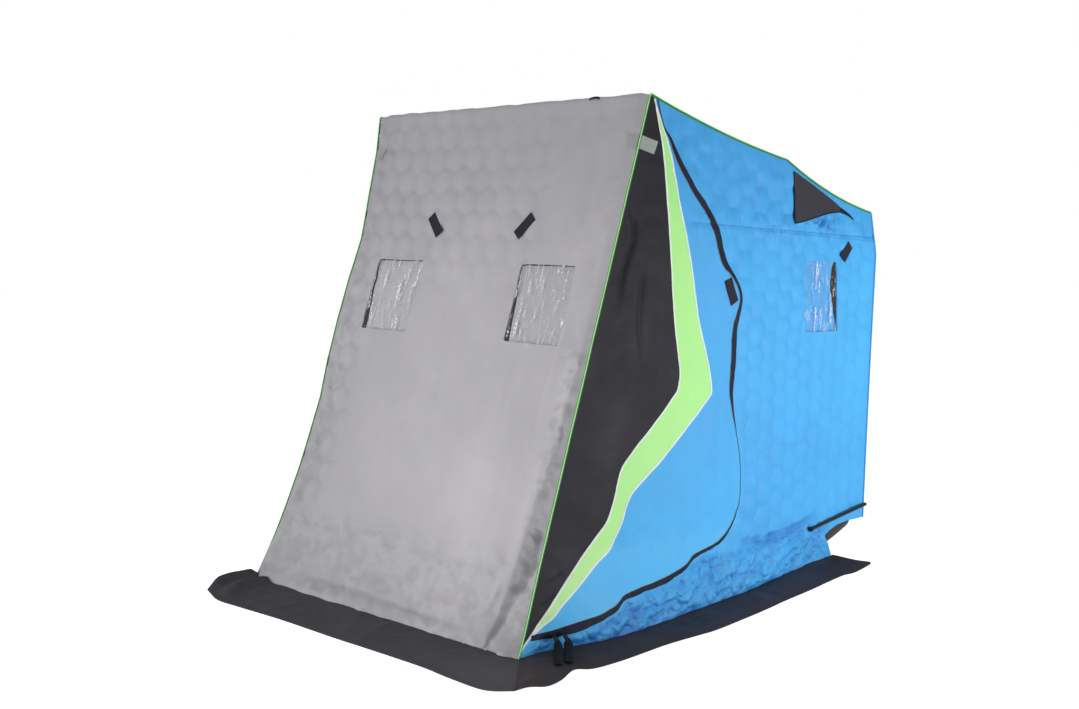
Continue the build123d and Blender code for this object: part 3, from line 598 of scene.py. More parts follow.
def centre_place(points, lift=0.0):
    """Places in space of points of the centre cloth, lifted off it."""
    x, along = points[:, 0], points[:, 1]
    spot, normal = on_profile(along)
    share = x / HALF
    right, left = side_base(spot, RIGHT), side_base(spot, LEFT)
    half = np.where(share > 0, right, left)
    half = half + (right + left - 2 * half) / 2 * (1 - smooth(np.abs(share) / 0.3))
    fade = smooth((1 - np.abs(share)) * HALF / 0.05)
    on_front = 1 - smooth((along - PEAK_ALONG + 0.02) / 0.06)
    out = fade * (centre_relief(points)[0] + 0.0045 * bell(along, PEAK_ALONG, 0.05)) + lift
    kick = -np.interp(share, KICK_SHARE, KICK_OUT) * np.exp(-(along / 0.12) ** 2) * on_front
    return np.column_stack([share * half, FRONT_Y + spot[:, 0] + normal[:, 0] * out + kick,
                            np.maximum(spot[:, 1] + normal[:, 1] * out, 0.003 + lift)])


# ---- meshes ----
STRAP_SECTION = [(-1.0, 0.0), (-0.86, 0.42), (-0.5, 0.5), (0.5, 0.5), (0.86, 0.42), (1.0, 0.0), (0.86, -0.42),
                 (0.5, -0.5), (-0.5, -0.5), (-0.86, -0.42)]


def build(name, vertices, polygons, rounded, materials):
    mesh = bpy.data.meshes.new(name)
    mesh.from_pydata(vertices.tolist(), [], polygons)
    mesh.polygons.foreach_set("use_smooth", rounded)
    for material in materials:
        mesh.materials.append(material)
    mesh.update()
    piece = bpy.data.objects.new(name, mesh)
    bpy.context.scene.collection.objects.link(piece)
    return piece


def vertex_normals(places, faces):
    a, b, c = places[faces[:, 0]], places[faces[:, 1]], places[faces[:, 2]]
    each = np.cross(b - a, c - a)
    normals = np.zeros_like(places)
    for k in range(3):
        np.add.at(normals, faces[:, k], each)
    return unit(normals)


def facing_out(places, faces):
    """The faces, turned over if they look into the hut."""
    outward = places - np.array([0, 0, 0.9])
    return faces if (vertex_normals(places, faces) * outward).sum() >= 0 else faces[:, ::-1]


def cloth(name, flat, faces, places, thickness, materials, painted_shading=1.0):
    """Closed sheet: the given outer face, an inner face under it and the rim between them."""
    count = len(places)
    both = np.vstack([places, places - vertex_normals(places, faces) * thickness])
    sides = np.vstack([faces[:, [0, 1]], faces[:, [1, 2]], faces[:, [2, 0]]])
    _, index, times = np.unique(np.sort(sides, axis=1), axis=0, return_index=True, return_counts=True)
    rim = sides[index[times == 1]]
    closing = np.column_stack([rim[:, 1], rim[:, 0], rim[:, 0] + count, rim[:, 1] + count])
    polygons = [*faces.tolist(), *(faces[:, ::-1] + count).tolist(), *closing.tolist()]
    piece = build(name, both, polygons, [True] * len(polygons), materials)
    mesh = piece.data
    loops = np.empty(len(mesh.loops), int)
    mesh.loops.foreach_get("vertex_index", loops)
    uv = np.vstack([flat, flat])[loops]
    mesh.uv_layers.new(name="cut").data.foreach_set("uv", uv.astype(np.float32).ravel())
    if len(materials) > 1:
        index = [0] * len(faces) + [1] * len(faces) + [0] * len(rim)
        mesh.polygons.foreach_set("material_index", index)
    ends = np.empty(2 * len(mesh.edges), int)
    mesh.edges.foreach_get("vertices", ends)
    rim = np.sort(rim, axis=1)
    rim_keys = set(map(tuple, np.vstack([rim, rim + count]).tolist()))
    sharp = [tuple(each) in rim_keys for each in np.sort(ends.reshape(-1, 2), axis=1).tolist()]
    mesh.attributes.new("sharp_edge", "BOOLEAN", "EDGE").data.foreach_set("value", sharp)
    # painted light and shade per point, which the cloth materials multiply into the colour
    shades = np.tile(np.broadcast_to(painted_shading, count), 2).astype(np.float32)
    mesh.attributes.new("painted_shading", "FLOAT", "POINT").data.foreach_set("value", shades)
    mesh.update()
    return piece


def swept(name, lines, material):
    """Solid whose long edges are the lines, capped at both ends."""
    count, length = len(lines), len(lines[0])
    faces = [(ring + j, ring + (j + 1) % count, ring + count + (j + 1) % count, ring + count + j)
             for ring in range(0, (length - 1) * count, count) for j in range(count)]
    faces += [tuple(range(count))[::-1], tuple((length - 1) * count + j for j in range(count))]
    vertices = np.stack(lines, axis=1).reshape(-1, 3)
    return build(name, vertices, faces, [len(face) == 4 for face in faces], [material])


def tube(name, path, radius, material, sides=10):
    """Round cord along a path of places."""
    ahead = np.roll(path, -1, axis=0) - np.roll(path, 1, axis=0)
    ahead[0], ahead[-1] = path[1] - path[0], path[-1] - path[-2]
    ahead = unit(ahead)
    side = unit(np.cross(ahead, (0.13, 0.21, 0.97)))
    up = np.cross(side, ahead)
    angles = np.linspace(0, 2 * math.pi, sides, endpoint=False)
    return swept(name, [path + radius * (math.cos(a) * side + math.sin(a) * up) for a in angles], material)


def strap(name, path, half_width, thickness, material, across=None):
    """Flat strap along a path of places, level across unless its width has its own direction."""
    ahead = unit(np.gradient(path, axis=0))
    sideways = unit(np.cross(ahead, (0.0, 0.0, 1.0))) if across is None else np.tile(across, (len(path), 1))
    up = np.cross(sideways, ahead)
    half = half_width[:, None]
    lines = [path + sideways * half * u + up * thickness * 2 * v for u, v in STRAP_SECTION]
    return swept(name, lines, material)


def ribbon(name, path, before, after, place, thickness, material):
    """Band along a flat path, with a width to each side, on the surface given by place(points)."""
    way = unit(np.gradient(path, axis=0))
    across = np.column_stack([-way[:, 1], way[:, 0]])
    count = len(path)
    left = path + across * np.broadcast_to(before, count)[:, None]
    right = path - across * np.broadcast_to(after, count)[:, None]
    flat = np.vstack([left + (right - left) * k / 2 for k in range(3)])
    starts = [row * count + k for row in range(2) for k in range(count - 1)]
    pairs = [((a, a + count, a + 1), (a + 1, a + count, a + count + 1)) for a in starts]
    faces = np.array(pairs).reshape(-1, 3)
    places = place(flat)
    return cloth(name, flat, facing_out(places, faces), places, thickness, [material])


def on_surface(name, loop, place, material, thickness, step=GRID, painted_shading=1.0):
    """A patch cut to a flat loop, lying where place() puts it."""
    points, faces = triangulated(loop, step=step)
    places = place(points)
    return cloth(name, points, facing_out(places, faces), places, thickness, [material], painted_shading)


# ---- materials ----
OPTIONS = ("operation", "attribute_name", "attribute_type", "wave_type", "bands_direction", "uv_map")


def linear(*srgb):
    """A colour of 0 to 255 per channel as linear light, opaque."""
    return (*(v / 255 / 12.92 if v <= 10.31 else ((v / 255 + 0.055) / 1.055) ** 2.4 for v in srgb), 1.0)


def put(tree, socket, value):
    """Set an input, or link it to another node's output."""
    if isinstance(value, bpy.types.NodeSocket):
        tree.links.new(value, socket)
    else:
        socket.default_value = value


def node(tree, kind, *values, **settings):
    """A node with its options, its inputs by place and its inputs by name."""
    made = tree.nodes.new(f"ShaderNode{kind}")
    for key in OPTIONS:
        if key in settings:
            setattr(made, key, settings.pop(key))
    for place, value in enumerate(values):
        put(tree, made.inputs[place], value)
    for key, value in settings.items():
        put(tree, made.inputs[key.replace("_", " ")], value)
    return made


def result(tree, kind, *values, **settings):
    return node(tree, kind, *values, **settings).outputs[0]


def texture(tree, kind, vector, **settings):
    return node(tree, kind, Vector=vector, **settings).outputs["Fac"]


def product(tree, a, b):
    return result(tree, "Math", a, b, operation="MULTIPLY")


def spread(tree, value, low, high, to_low, to_high):
    """The value's range from low to high, mapped to another one."""
    return result(tree, "MapRange", value, low, high, to_low, to_high)


def tinted(tree, colour, level):
    return result(tree, "VectorMath", colour[:3], operation="SCALE", Scale=level)


def new_material(name, colour, roughness, metallic=0.0, specular=0.5, coat=0.0):
    material = bpy.data.materials.new(name)
    material.use_nodes = True
    tree = material.node_tree
    shader = tree.nodes["Principled BSDF"]
    for key, value in (("Base Color", colour), ("Roughness", roughness), ("Metallic", metallic),
                       ("Specular IOR Level", specular), ("Coat Weight", coat)):
        shader.inputs[key].default_value = value
    return material, tree, shader


def coordinates(tree, mapped, scale):
    """The cut cloth's own coordinates, or the object's."""
    made = node(tree, "UVMap", uv_map="cut") if mapped else node(tree, "TexCoord")
    return result(tree, "Mapping", Vector=made.outputs["UV" if mapped else "Object"], Scale=(scale,) * 3)


def cloth_material(name, srgb, roughness=0.62, vary=0.07, mapped=True, specular=0.22, takes_painted_shading=True,
                   ribbed=False, shade=None):
    """Woven cloth: a fine weave, drifting colour and the painted light and shade of the painted_shading
    attribute, whose painted shade may take a tint of its own.
    """
    colour = linear(*srgb)
    material, tree, shader = new_material(name, colour, roughness, specular=specular)
    plain = coordinates(tree, mapped, 1.0)
    drift = texture(tree, "TexNoise", plain, Scale=5.0, Detail=4.0, Roughness=0.6)
    grain = texture(tree, "TexNoise", coordinates(tree, mapped, 260.0), Scale=1.0, Detail=2.0, Roughness=0.7)
    level = product(tree, spread(tree, drift, 0.3, 0.7, 1 - vary, 1 + vary * 0.4),
                    spread(tree, grain, 0.25, 0.75, 0.965, 1.02))
    if takes_painted_shading:
        # painted light and shade: the painted_shading attribute scales the colour, and the shade tint is
        # added where it darkens
        painted_shading = node(tree, "Attribute", attribute_name="painted_shading", attribute_type="GEOMETRY").outputs["Fac"]
        level = product(tree, level, painted_shading)
    painted = tinted(tree, colour, level)
    if shade:
        darkness = result(tree, "Math", 1.0, painted_shading, operation="SUBTRACT")
        tint = tinted(tree, linear(*shade), darkness)
        painted = result(tree, "VectorMath", painted, tint, operation="ADD")
    threads = coordinates(tree, mapped, 700.0)
    warp, weft = (texture(tree, "TexWave", threads, wave_type="BANDS", bands_direction=way, Scale=0.5,
                          Distortion=0.4) for way in "XY")
    crossing = result(tree, "Math", warp, 0.0 if ribbed else weft, operation="MAXIMUM")
    fine = result(tree, "Bump", Strength=0.12, Distance=0.0004, Height=crossing)
    rumple = texture(tree, "TexNoise", plain, Scale=26.0, Detail=4.0, Roughness=0.55)
    put(tree, shader.inputs["Base Color"], painted)
    put(tree, shader.inputs["Roughness"], spread(tree, drift, 0.3, 0.7, roughness - 0.06, roughness + 0.06))
    put(tree, shader.inputs["Normal"],
        result(tree, "Bump", Strength=0.16, Distance=0.004, Height=rumple, Normal=fine))
    return material


def hard_material(name, srgb, roughness, metallic=0.0, specular=0.5, coat=0.0):
    """Moulded plastic or painted metal: grain, drifting colour and scuffed gloss."""
    colour = linear(*srgb)
    material, tree, shader = new_material(name, colour, roughness, metallic, specular, coat)
    own = coordinates(tree, False, 1.0)
    drift = texture(tree, "TexNoise", own, Scale=9.0, Detail=6.0, Roughness=0.62)
    pebbles = texture(tree, "TexNoise", own, Scale=90.0, Detail=3.0)
    gloss = spread(tree, drift, 0.3, 0.7, max(0.02, roughness - 0.07), roughness + 0.09)
    put(tree, shader.inputs["Base Color"], tinted(tree, colour, spread(tree, drift, 0.3, 0.7, 0.88, 1.12)))
    put(tree, shader.inputs["Roughness"], gloss)
    put(tree, shader.inputs["Normal"], result(tree, "Bump", Strength=0.08, Distance=0.001, Height=pebbles))
    return material


def vinyl_material():
    """Window film: see-through and glossy, with painted white glints along its upright creases, opaque white
    specks in its colour that stand for reflections.
    """
    material, tree, shader = new_material("clear_vinyl", linear(250, 251, 253), 0.12, specular=0.2)

    def crinkles(across, along, detail):
        cut = node(tree, "UVMap", uv_map="cut").outputs["UV"]
        stretched = result(tree, "Mapping", Vector=cut, Scale=(across, along, 1.0))
        return texture(tree, "TexNoise", stretched, Scale=1.0, Detail=detail, Roughness=0.62, Distortion=0.5)

    creases = crinkles(70.0, 11.0, 5.0)
    streaks = spread(tree, creases, 0.555, 0.59, 0.0, 1.0)
    sparks = spread(tree, crinkles(190.0, 110.0, 2.0), 0.47, 0.55, 0.0, 1.0)
    patches = spread(tree, crinkles(14.0, 5.0, 2.0), 0.40, 0.54, 0.25, 1.0)
    # painted highlights: where streaks, sparks and patches meet, the white film turns opaque
    glints = product(tree, product(tree, streaks, sparks), patches)
    put(tree, shader.inputs["IOR"], 1.5)
    put(tree, shader.inputs["Alpha"], spread(tree, glints, 0.0, 1.0, 0.03, 1.0))
    put(tree, shader.inputs["Normal"], result(tree, "Bump", Strength=0.7, Distance=0.006, Height=creases))
    put(tree, shader.inputs["Roughness"], spread(tree, creases, 0.3, 0.7, 0.10, 0.30))
    return material


GREY = cloth_material("grey_shell", (186, 184, 189))
BLUE = cloth_material("blue_shell", (79, 184, 249), roughness=0.52, specular=0.25, shade=(0, 52, 168))
GREEN = cloth_material("green_shell", (192, 255, 160), roughness=0.55, vary=0.03, shade=(60, 230, 60))
BLACK = cloth_material("black_shell", (41, 39, 47), roughness=0.55, specular=0.15)
LINING = cloth_material("black_lining", (34, 35, 39), roughness=0.75)
SKIRT = cloth_material("skirt_shell", (73, 72, 78), roughness=0.6, specular=0.15)
# the side skirts: a darker, warmer copy of the skirt's cloth that cancels the blue light bounced off the
# walls, as painted shade
SIDE_SKIRT = cloth_material("side_skirt_shell", (63, 55, 58), roughness=0.6, specular=0.15)
NAVY = cloth_material("zipper_flap", (26, 32, 52), roughness=0.6, takes_painted_shading=False, specular=0.15)
DARK = cloth_material("dark_trim", (27, 28, 40), roughness=0.8, takes_painted_shading=False)
VENT = cloth_material("vent_cloth", (56, 54, 62), roughness=0.6)
BEIGE = cloth_material("stitch_edging", (176, 168, 142), roughness=0.7, takes_painted_shading=False)
SEAM = cloth_material("blue_seam", (70, 152, 216), roughness=0.7, takes_painted_shading=False)
# dark green cord under the lime piping: painted shade along the piping's sides
LIME_SHADE = cloth_material("piping_shade", (62, 138, 66), roughness=0.7, mapped=False, takes_painted_shading=False)
WHITE = cloth_material("white_tape", (250, 252, 250), roughness=0.6, takes_painted_shading=False)
LIME = cloth_material("lime_piping", (178, 248, 158), roughness=0.5, mapped=False, takes_painted_shading=False)
BLUE_EDGE = cloth_material("blue_edging", (80, 168, 238), roughness=0.55, mapped=False, takes_painted_shading=False)
WEBBING = cloth_material("black_webbing", (30, 30, 33), roughness=0.7, mapped=False, takes_painted_shading=False, ribbed=True)
REFLECTIVE = cloth_material("reflective_band", (160, 165, 163), roughness=0.5, takes_painted_shading=False, specular=0.4)
HOOK = cloth_material("hook_tape", (48, 46, 57), roughness=0.85, takes_painted_shading=False, specular=0.15)
RUBBER = hard_material("pull_rubber", (16, 14, 15), 0.6, specular=0.25)
PLASTIC = hard_material("sled_black", (24, 24, 26), 0.24, specular=0.55, coat=0.15)
RUNNER = hard_material("runner_black", (30, 30, 32), 0.45)
STEEL = hard_material("pole_zinc", (170, 172, 176), 0.34, metallic=0.85)
BLACK_STEEL = hard_material("black_paint", (22, 22, 24), 0.32)
VINYL = vinyl_material()


def bend_at_hinge(piece):
    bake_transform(piece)


def on_hut(piece, slot, *replaced):
    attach(piece, "hut")
    if replaced:
        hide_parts(*replaced)


# ---- the cloth of the sides ----
EDGE_STEPS = np.unique([*range(0, PEAK_INDEX, 3), *range(PEAK_INDEX, len(PROFILE), 3), len(PROFILE) - 1])
EDGE, EDGE_ALONG = PROFILE[EDGE_STEPS], PROFILE_ALONG[EDGE_STEPS]
EDGE_PEAK = int(np.argmax(EDGE[:, 1]))
front_edge, top_edge = EDGE[: EDGE_PEAK + 1], EDGE[EDGE_PEAK:]


def edge_at_height(height):
    return np.array([front_setback(height), height])


def top_at(setback):
    return np.array([setback, np.interp(setback, top_edge[:, 0], top_edge[:, 1])])


apex, zipper_top = top_at(APEX_SETBACK), top_at(ZIPPER_TOP_SETBACK)
toe_high, toe_low = edge_at_height(TOE_HIGH), edge_at_height(TOE_LOW)
inner_line = spline([apex, *STRIPE_INNER[1:-1], toe_high])
outer_line = spline([apex, *STRIPE_OUTER[1:-1], toe_low])
junction = int(np.argmin(np.linalg.norm(outer_line - np.array(ZIPPER[0][:2]), axis=1)))
zipper = spline([(*outer_line[junction], 0.009), *ZIPPER[1:-1], (*zipper_top, 0.003)], 0.01)
zipper_line = zipper[:, :2]

rising = front_edge[(front_edge[:, 1] > toe_high[1]) & (front_edge[:, 1] < PEAK_HEIGHT - 1e-6)]
over_black = top_edge[top_edge[:, 0] < apex[0] - 0.002]
black_loop = join(toe_high[None], rising, over_black, inner_line)
green_loop = join(inner_line, outer_line[::-1])
door_blue_loop = join(apex[None], outer_line[: junction + 1], zipper_line)
behind_zipper = top_edge[top_edge[:, 0] > zipper_top[0] + 0.002]
ground_line = spline(GROUND_LINE)
toe_edge = front_edge[(front_edge[:, 1] > 1e-6) & (front_edge[:, 1] < toe_low[1])]
wall_loop = join(behind_zipper, spline([BACK_HEM, *NOTCH]), spline(NOTCH_FOOT), ground_line, toe_edge,
                 outer_line[junction:][::-1], zipper_line)


def rounded_rectangle(low, high, radius=0.006, step=GRID):
    (left, foot), (right, head) = low, high
    corners = []
    for x, y, start in ((right, head, 0), (left, head, 90), (left, foot, 180), (right, foot, 270)):
        centre_x = x - math.copysign(radius, x - (left + right) / 2)
        centre_y = y - math.copysign(radius, y - (foot + head) / 2)
        for turn in (0, 22.5, 45, 67.5, 90):
            angle = math.radians(start + turn)
            corners.append((centre_x + radius * math.cos(angle), centre_y + radius * math.sin(angle)))
    return resample(np.array([*corners, corners[0]]), step)[:-1]


SIDE_WINDOW = rounded_rectangle((SIDE_WINDOW_FRONT, SIDE_SILL), (SIDE_WINDOW_REAR, SIDE_LINTEL))
lean = (SIDE_WINDOW[:, 1] - SIDE_SILL) / (SIDE_LINTEL - SIDE_SILL)
SIDE_WINDOW[:, 0] += SIDE_LEAN * (1 - 2 * lean)
sill, lintel = along_at(FRONT_SILL), along_at(FRONT_LINTEL)
FRONT_WINDOWS = {"right": rounded_rectangle((FRONT_WINDOW_INNER, sill), (FRONT_WINDOW_OUTER, lintel)),
                 "left": rounded_rectangle((-FRONT_WINDOW_OUTER, sill), (-FRONT_WINDOW_INNER, lintel))}


def crushed_rows(points):
    """Where the side cloth's creases are small: along its foot and under the vent hood."""
    return (points[:, 1] < 0.36) | (np.abs(points[:, 1] - 1.53) < 0.06)


def side_panel(name, loop, material, side_name, replaced, holes=()):
    """A panel of a side wall, its flat size and its area."""
    side = SIDES[side_name]
    points, faces = triangulated(loop, holes, fine=crushed_rows)
    if side == LEFT:
        faces = faces[:, ::-1]
    piece = cloth(f"{name}_{side_name}", points, faces, side_place(points, side), CLOTH, [material, LINING],
                  side_relief(points, side)[1])
    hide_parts(*[f"{each}_{side_name}" for each in replaced])
    return piece, cut_size(loop), area_of(loop, holes)


for side_name in SIDES:
    for name, loop, material, slot, replaced in (
            ("black_cloth", black_loop, BLACK, "black_fabric", ["door_black", "door_trim"]),
            ("green_cloth", green_loop, GREEN, "green_fabric", ["door_green"]),
            ("door_cloth", door_blue_loop, BLUE, "blue_fabric", ["door_blue"])):
        piece, flat, area = side_panel(name, loop, material, side_name, replaced)
        bend_at_hinge(piece)
        if name == "black_cloth":
            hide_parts("hinge_welts")
        else:      # a curved strip: its greatest width and the length of its longer edge
            flat = (STRIP_WIDTHS[name], float(lengths(inner_line)[-1]))
    piece, flat, area = side_panel("wall_cloth", wall_loop, BLUE, side_name,
                                   ["side_upper", "side_front", "side_bottom", "side_rear"], [SIDE_WINDOW])
    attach(piece, "hut")


# ---- the centre cloth ----
def strip_loop(along):
    across = np.linspace(-HALF, HALF, int(round(2 * HALF / GRID)) + 1)
    right = np.column_stack([np.full(len(along), HALF), along])
    left = np.column_stack([np.full(len(along), -HALF), along[::-1]])
    return join(np.column_stack([across, np.full(len(across), along[0])]), right,
                np.column_stack([across[::-1], np.full(len(across), along[-1])]), left)


def crumpled_part(points):
    """Where the front cloth's creases are small: its foot and the lower stretch of its edges."""
    x, along = points[:, 0], points[:, 1]
    return (along < 0.30) | ((along < 1.1) & (x > 0.56)) | ((along < 1.5) & (x < -0.56))


for name, along, material, slot, replaced, holes, step, fine in (
        ("front_cloth", EDGE_ALONG[: EDGE_PEAK + 1], GREY, "grey_fabric", ["front_wall"],
         list(FRONT_WINDOWS.values()), FRONT_GRID, crumpled_part),
        ("roof_back_cloth", EDGE_ALONG[EDGE_PEAK:], BLUE, "blue_fabric",
         ["roof_front", "roof_rear", "back_wall_upper", "back_wall"], [], ROOF_GRID, None)):
    loop = strip_loop(along)
    points, faces = triangulated(loop, holes, step, fine)
    piece = cloth(name, points, faces, centre_place(points), CLOTH, [material, LINING],
                  centre_relief(points)[1])
    on_hut(piece, slot, *replaced)
    area_of(loop, holes)


# ---- piping along the edges ----
def edge_line(points, side, lift):
    normals = unit(np.column_stack([-np.gradient(points[:, 1]), np.gradient(points[:, 0])]))
    raised = points + normals * lift * 0.5
    out = side_base(points, side) + lift * 0.4
    return np.column_stack([side * out, FRONT_Y + raised[:, 0], raised[:, 1]])


rear_bow = int(np.argmin(np.linalg.norm(EDGE - np.array(REAR_BOW), axis=1)))
for side_name, side in SIDES.items():
    before, behind = EDGE[:rear_bow], EDGE[rear_bow - 1:]
    # the dark green cord under the lime piping is painted shade along its sides
    lime_lift, shade_radius = (0.0055, 0.0046) if side == RIGHT else (0.004, 0.0032)
    for name, line, lift, radius, material, slot in (
            ("piping", before, lime_lift, 0.0025, LIME, "green_fabric"),
            ("piping_shade", before, 0.0010, shade_radius, LIME_SHADE, "green_fabric"),
            ("back_edging", behind, 0.002, 0.0042, BLUE_EDGE, "blue_fabric")):
        on_hut(tube(f"{name}_{side_name}", edge_line(line, side, lift), radius, material), slot)


# ---- zippers, the stripe's white borders and stitched seams ----
def lying(side, lift):
    return lambda points: side_place(points, side, lift)


hem = resample(ground_line[:-1][::-1], 0.02)
hem = hem[hem[:, 0] > 0.16] + [0, 0.002]
# the flap keeps at least 0.6 mm of half width; where the wall's cloth hides the flap, this thin dark line is
# partly the flap's edge and partly painted shade along the zipper
half_flap = np.clip(zipper[:, 2], 0.0006, None)
for side_name, side in SIDES.items():
    flap = ribbon(f"zip_flap_{side_name}", zipper_line, half_flap, half_flap,
                  lying(side, 0.0022), 0.0016, NAVY)
    edging = ribbon(f"zip_edge_{side_name}", zipper_line[3:], half_flap[3:] + 0.0008, 0.0004 - half_flap[3:],
                    lying(side, 0.0018), 0.001, BEIGE)
    for piece in (flap, edging):
        bend_at_hinge(piece)
    tape = ribbon(f"zip_tape_{side_name}", zipper_line, -0.0012, np.minimum(half_flap, 0.006),
                  lying(side, 0.0004), 0.001, DARK)
    on_hut(tape, "black_fabric", "zipper_tapes")
    stitched = ribbon(f"hem_edge_{side_name}", hem, 0.0011, 0.0011, lying(side, 0.0005), 0.0008, BEIGE)
    on_hut(stitched, "blue_fabric")
    for name, line in (("inner", inner_line), ("outer", outer_line)):
        flat = resample(line, 0.01)[1:-1]
        width = np.interp(flat[:, 1], BORDER_HEIGHT, BORDER_WIDTH)
        outside, within = (width, 0.0) if name == "inner" else (0.0, width)
        border = ribbon(f"stripe_{name}_{side_name}", flat, outside, within,
                        lying(side, 0.0012), 0.001, WHITE)
        bend_at_hinge(border)

for side_name, side in SIDES.items():
    for name, start, end, half in SEAMS:
        seam = ribbon(f"{name}_{side_name}", straight(start, end), half, half,
                      lying(side, 0.0006), 0.0008, SEAM)
        on_hut(seam, "blue_fabric")


# ---- skirts on the ground ----
def skirt_heights(flat, inner, outer, seed):
    near, far = distance_to(flat, inner), distance_to(flat, outer)
    x, y = flat[:, 0], flat[:, 1]
    wave = 0.020 * (layered_noise(x / 0.17, y / 0.17, seed, 2) - 0.35) * smooth(near / 0.08)
    wave *= smooth(far / 0.07) * 0.9 + 0.1
    crease = 0.006 * ridges(x / 0.11 + 3, y / 0.11, seed + 9, 3) * smooth(near / 0.05) * smooth(far / 0.05)
    seam = -0.002 * bell(far, 0.022, 0.004)
    to_hem = np.interp(y, *zip(*HEM_HEIGHT)) * (1 - smooth(near / 0.12)) * (x > 0.5)
    return 0.0045 + np.clip(wave + crease, 0, None) + seam + to_hem


def skirt(name, inner, outer, seed, material, replaced, mirrored=False, lift=lambda flat: 0.0):
    loop = join(inner, outer[::-1])
    points, faces = triangulated(loop, step=SKIRT_GRID)
    z = skirt_heights(points, inner, outer, seed) + lift(points)
    places = np.column_stack([points[:, 0], FRONT_Y + points[:, 1], z])
    if mirrored:
        places = places * np.array([-1, 1, 1])
        faces = faces[:, ::-1]
    to_corner = np.hypot(points[:, 0] - 0.86, points[:, 1] + 0.17)
    # painted light near the right front corner and painted shade along the inner edge under the wall
    painted_shading = 1 + 0.50 * bell(to_corner, 0, 0.20) - 0.10 * (1 - smooth(distance_to(points, inner) / 0.05))
    piece = cloth(name, points, faces, places, SKIRT_CLOTH, [material], painted_shading)
    on_hut(piece, "black_fabric", replaced)
    area_of(loop)


left_end = spline(SKIRT_LEFT_END)
right_end = straight(SKIRT_HEM[-1], SKIRT_SIDE[0])


def bunched_end(flat):
    """The front skirt's left end, rucked up into a low fold."""
    away = distance_to(flat, left_end)
    along = rise(flat[:, 1], -0.31, 0.10) * smooth((0.0 - flat[:, 1]) / 0.06)
    return along * (0.030 * bell(away, 0, 0.035) + 0.018 * bell(away, 0.10, 0.03))


front_outer = join(left_end[::-1][:-1], spline(SKIRT_FRONT), right_end[::-1][:-1])
skirt("skirt_cloth_front", spline(SKIRT_HEM), front_outer, 101, SKIRT, "skirt_front", lift=bunched_end)
side_outer = spline(SKIRT_SIDE)
hem_setbacks = np.arange(0.0, 2.16, GRID)
side_hem = np.column_stack([HALF + np.interp(hem_setbacks, HEM_SETBACK, HEM_OUT) - 0.004, hem_setbacks])
for side_name, side in SIDES.items():
    start = 0.0 if side == RIGHT else LEFT_SKIRT_START
    inner = side_hem[side_hem[:, 1] >= start]
    outer = side_outer[side_outer[:, 1] >= start + 0.02] if side == LEFT else side_outer
    head = right_end[:-1] if side == RIGHT else straight(inner[0], outer[0])[1:-1]
    tail = straight(SKIRT_SIDE[-1], inner[-1])[1:-1]
    skirt(f"skirt_cloth_{side_name}", inner, join(head, outer, tail), 131, SIDE_SKIRT, f"skirt_{side_name}",
          mirrored=side == LEFT)


# ---- pieces that lie on the cloth ----
def polygon(corners, step=0.008):
    closed = [*corners, corners[0]]
    return join(*[straight(a, b, step)[:-1] for a, b in zip(closed[:-1], closed[1:])])


def turned_rectangle(middle, length, width, angle):
    """Corners of a rectangle whose length lies at an angle to the first axis."""
    c, s = math.cos(math.radians(angle)), math.sin(math.radians(angle))
    return [(middle[0] + c * u - s * v, middle[1] + s * u + c * v)
            for u, v in np.array([(-1, -1), (1, -1), (1, 1), (-1, 1)]) * (length, width) / 2]


def on_front(pairs):
    """(x, height) on the front wall turned into (x, length along the profile)."""
    return [(x, along_at(z)) for x, z in pairs]


def window(name, kind, loop, place, material, painted_shading, covered):
    """Film over a cover of the wall's own cloth, which leaves a dark slit along one edge; the cover's colour
    is darkened by painted shade.
    """
    film = on_surface(f"{name}_film", loop, lambda p: place(p, FILM_LIFT), VINYL, 0.001)
    on_hut(film, "clear_vinyl", f"{kind}_windows")
    cover = on_surface(f"{name}_cover", covered, lambda p: place(p, COVER_LIFT), material, 0.003, painted_shading=painted_shading)
    on_hut(cover, "black_fabric", f"{kind}_window_covers")


def front_covered(loop):
    low, high = loop.min(axis=0), loop.max(axis=0)
    corners = np.array([low, (high[0], low[1]), high, (low[0], high[1])]) + FRONT_COVER_PAST
    return polygon(corners, GRID)


slit_edge = spline(SIDE_SLIT)
cover_corners = [SIDE_SLIT[-1], (1.74, 1.390), (1.77, 1.050), SIDE_SLIT[0]]
cover_edges = [straight(a, b)[1:] for a, b in zip(cover_corners[:-1], cover_corners[1:])]
SIDE_COVER = np.vstack([slit_edge, *cover_edges])[:-1]


def bridging(relief, place, lift):
    """Places of a stiff patch: it bridges the quilting at the height of its highest crown."""
    def placed(points):
        level = relief(points)
        return place(points, lift + level.max() - level)
    return placed


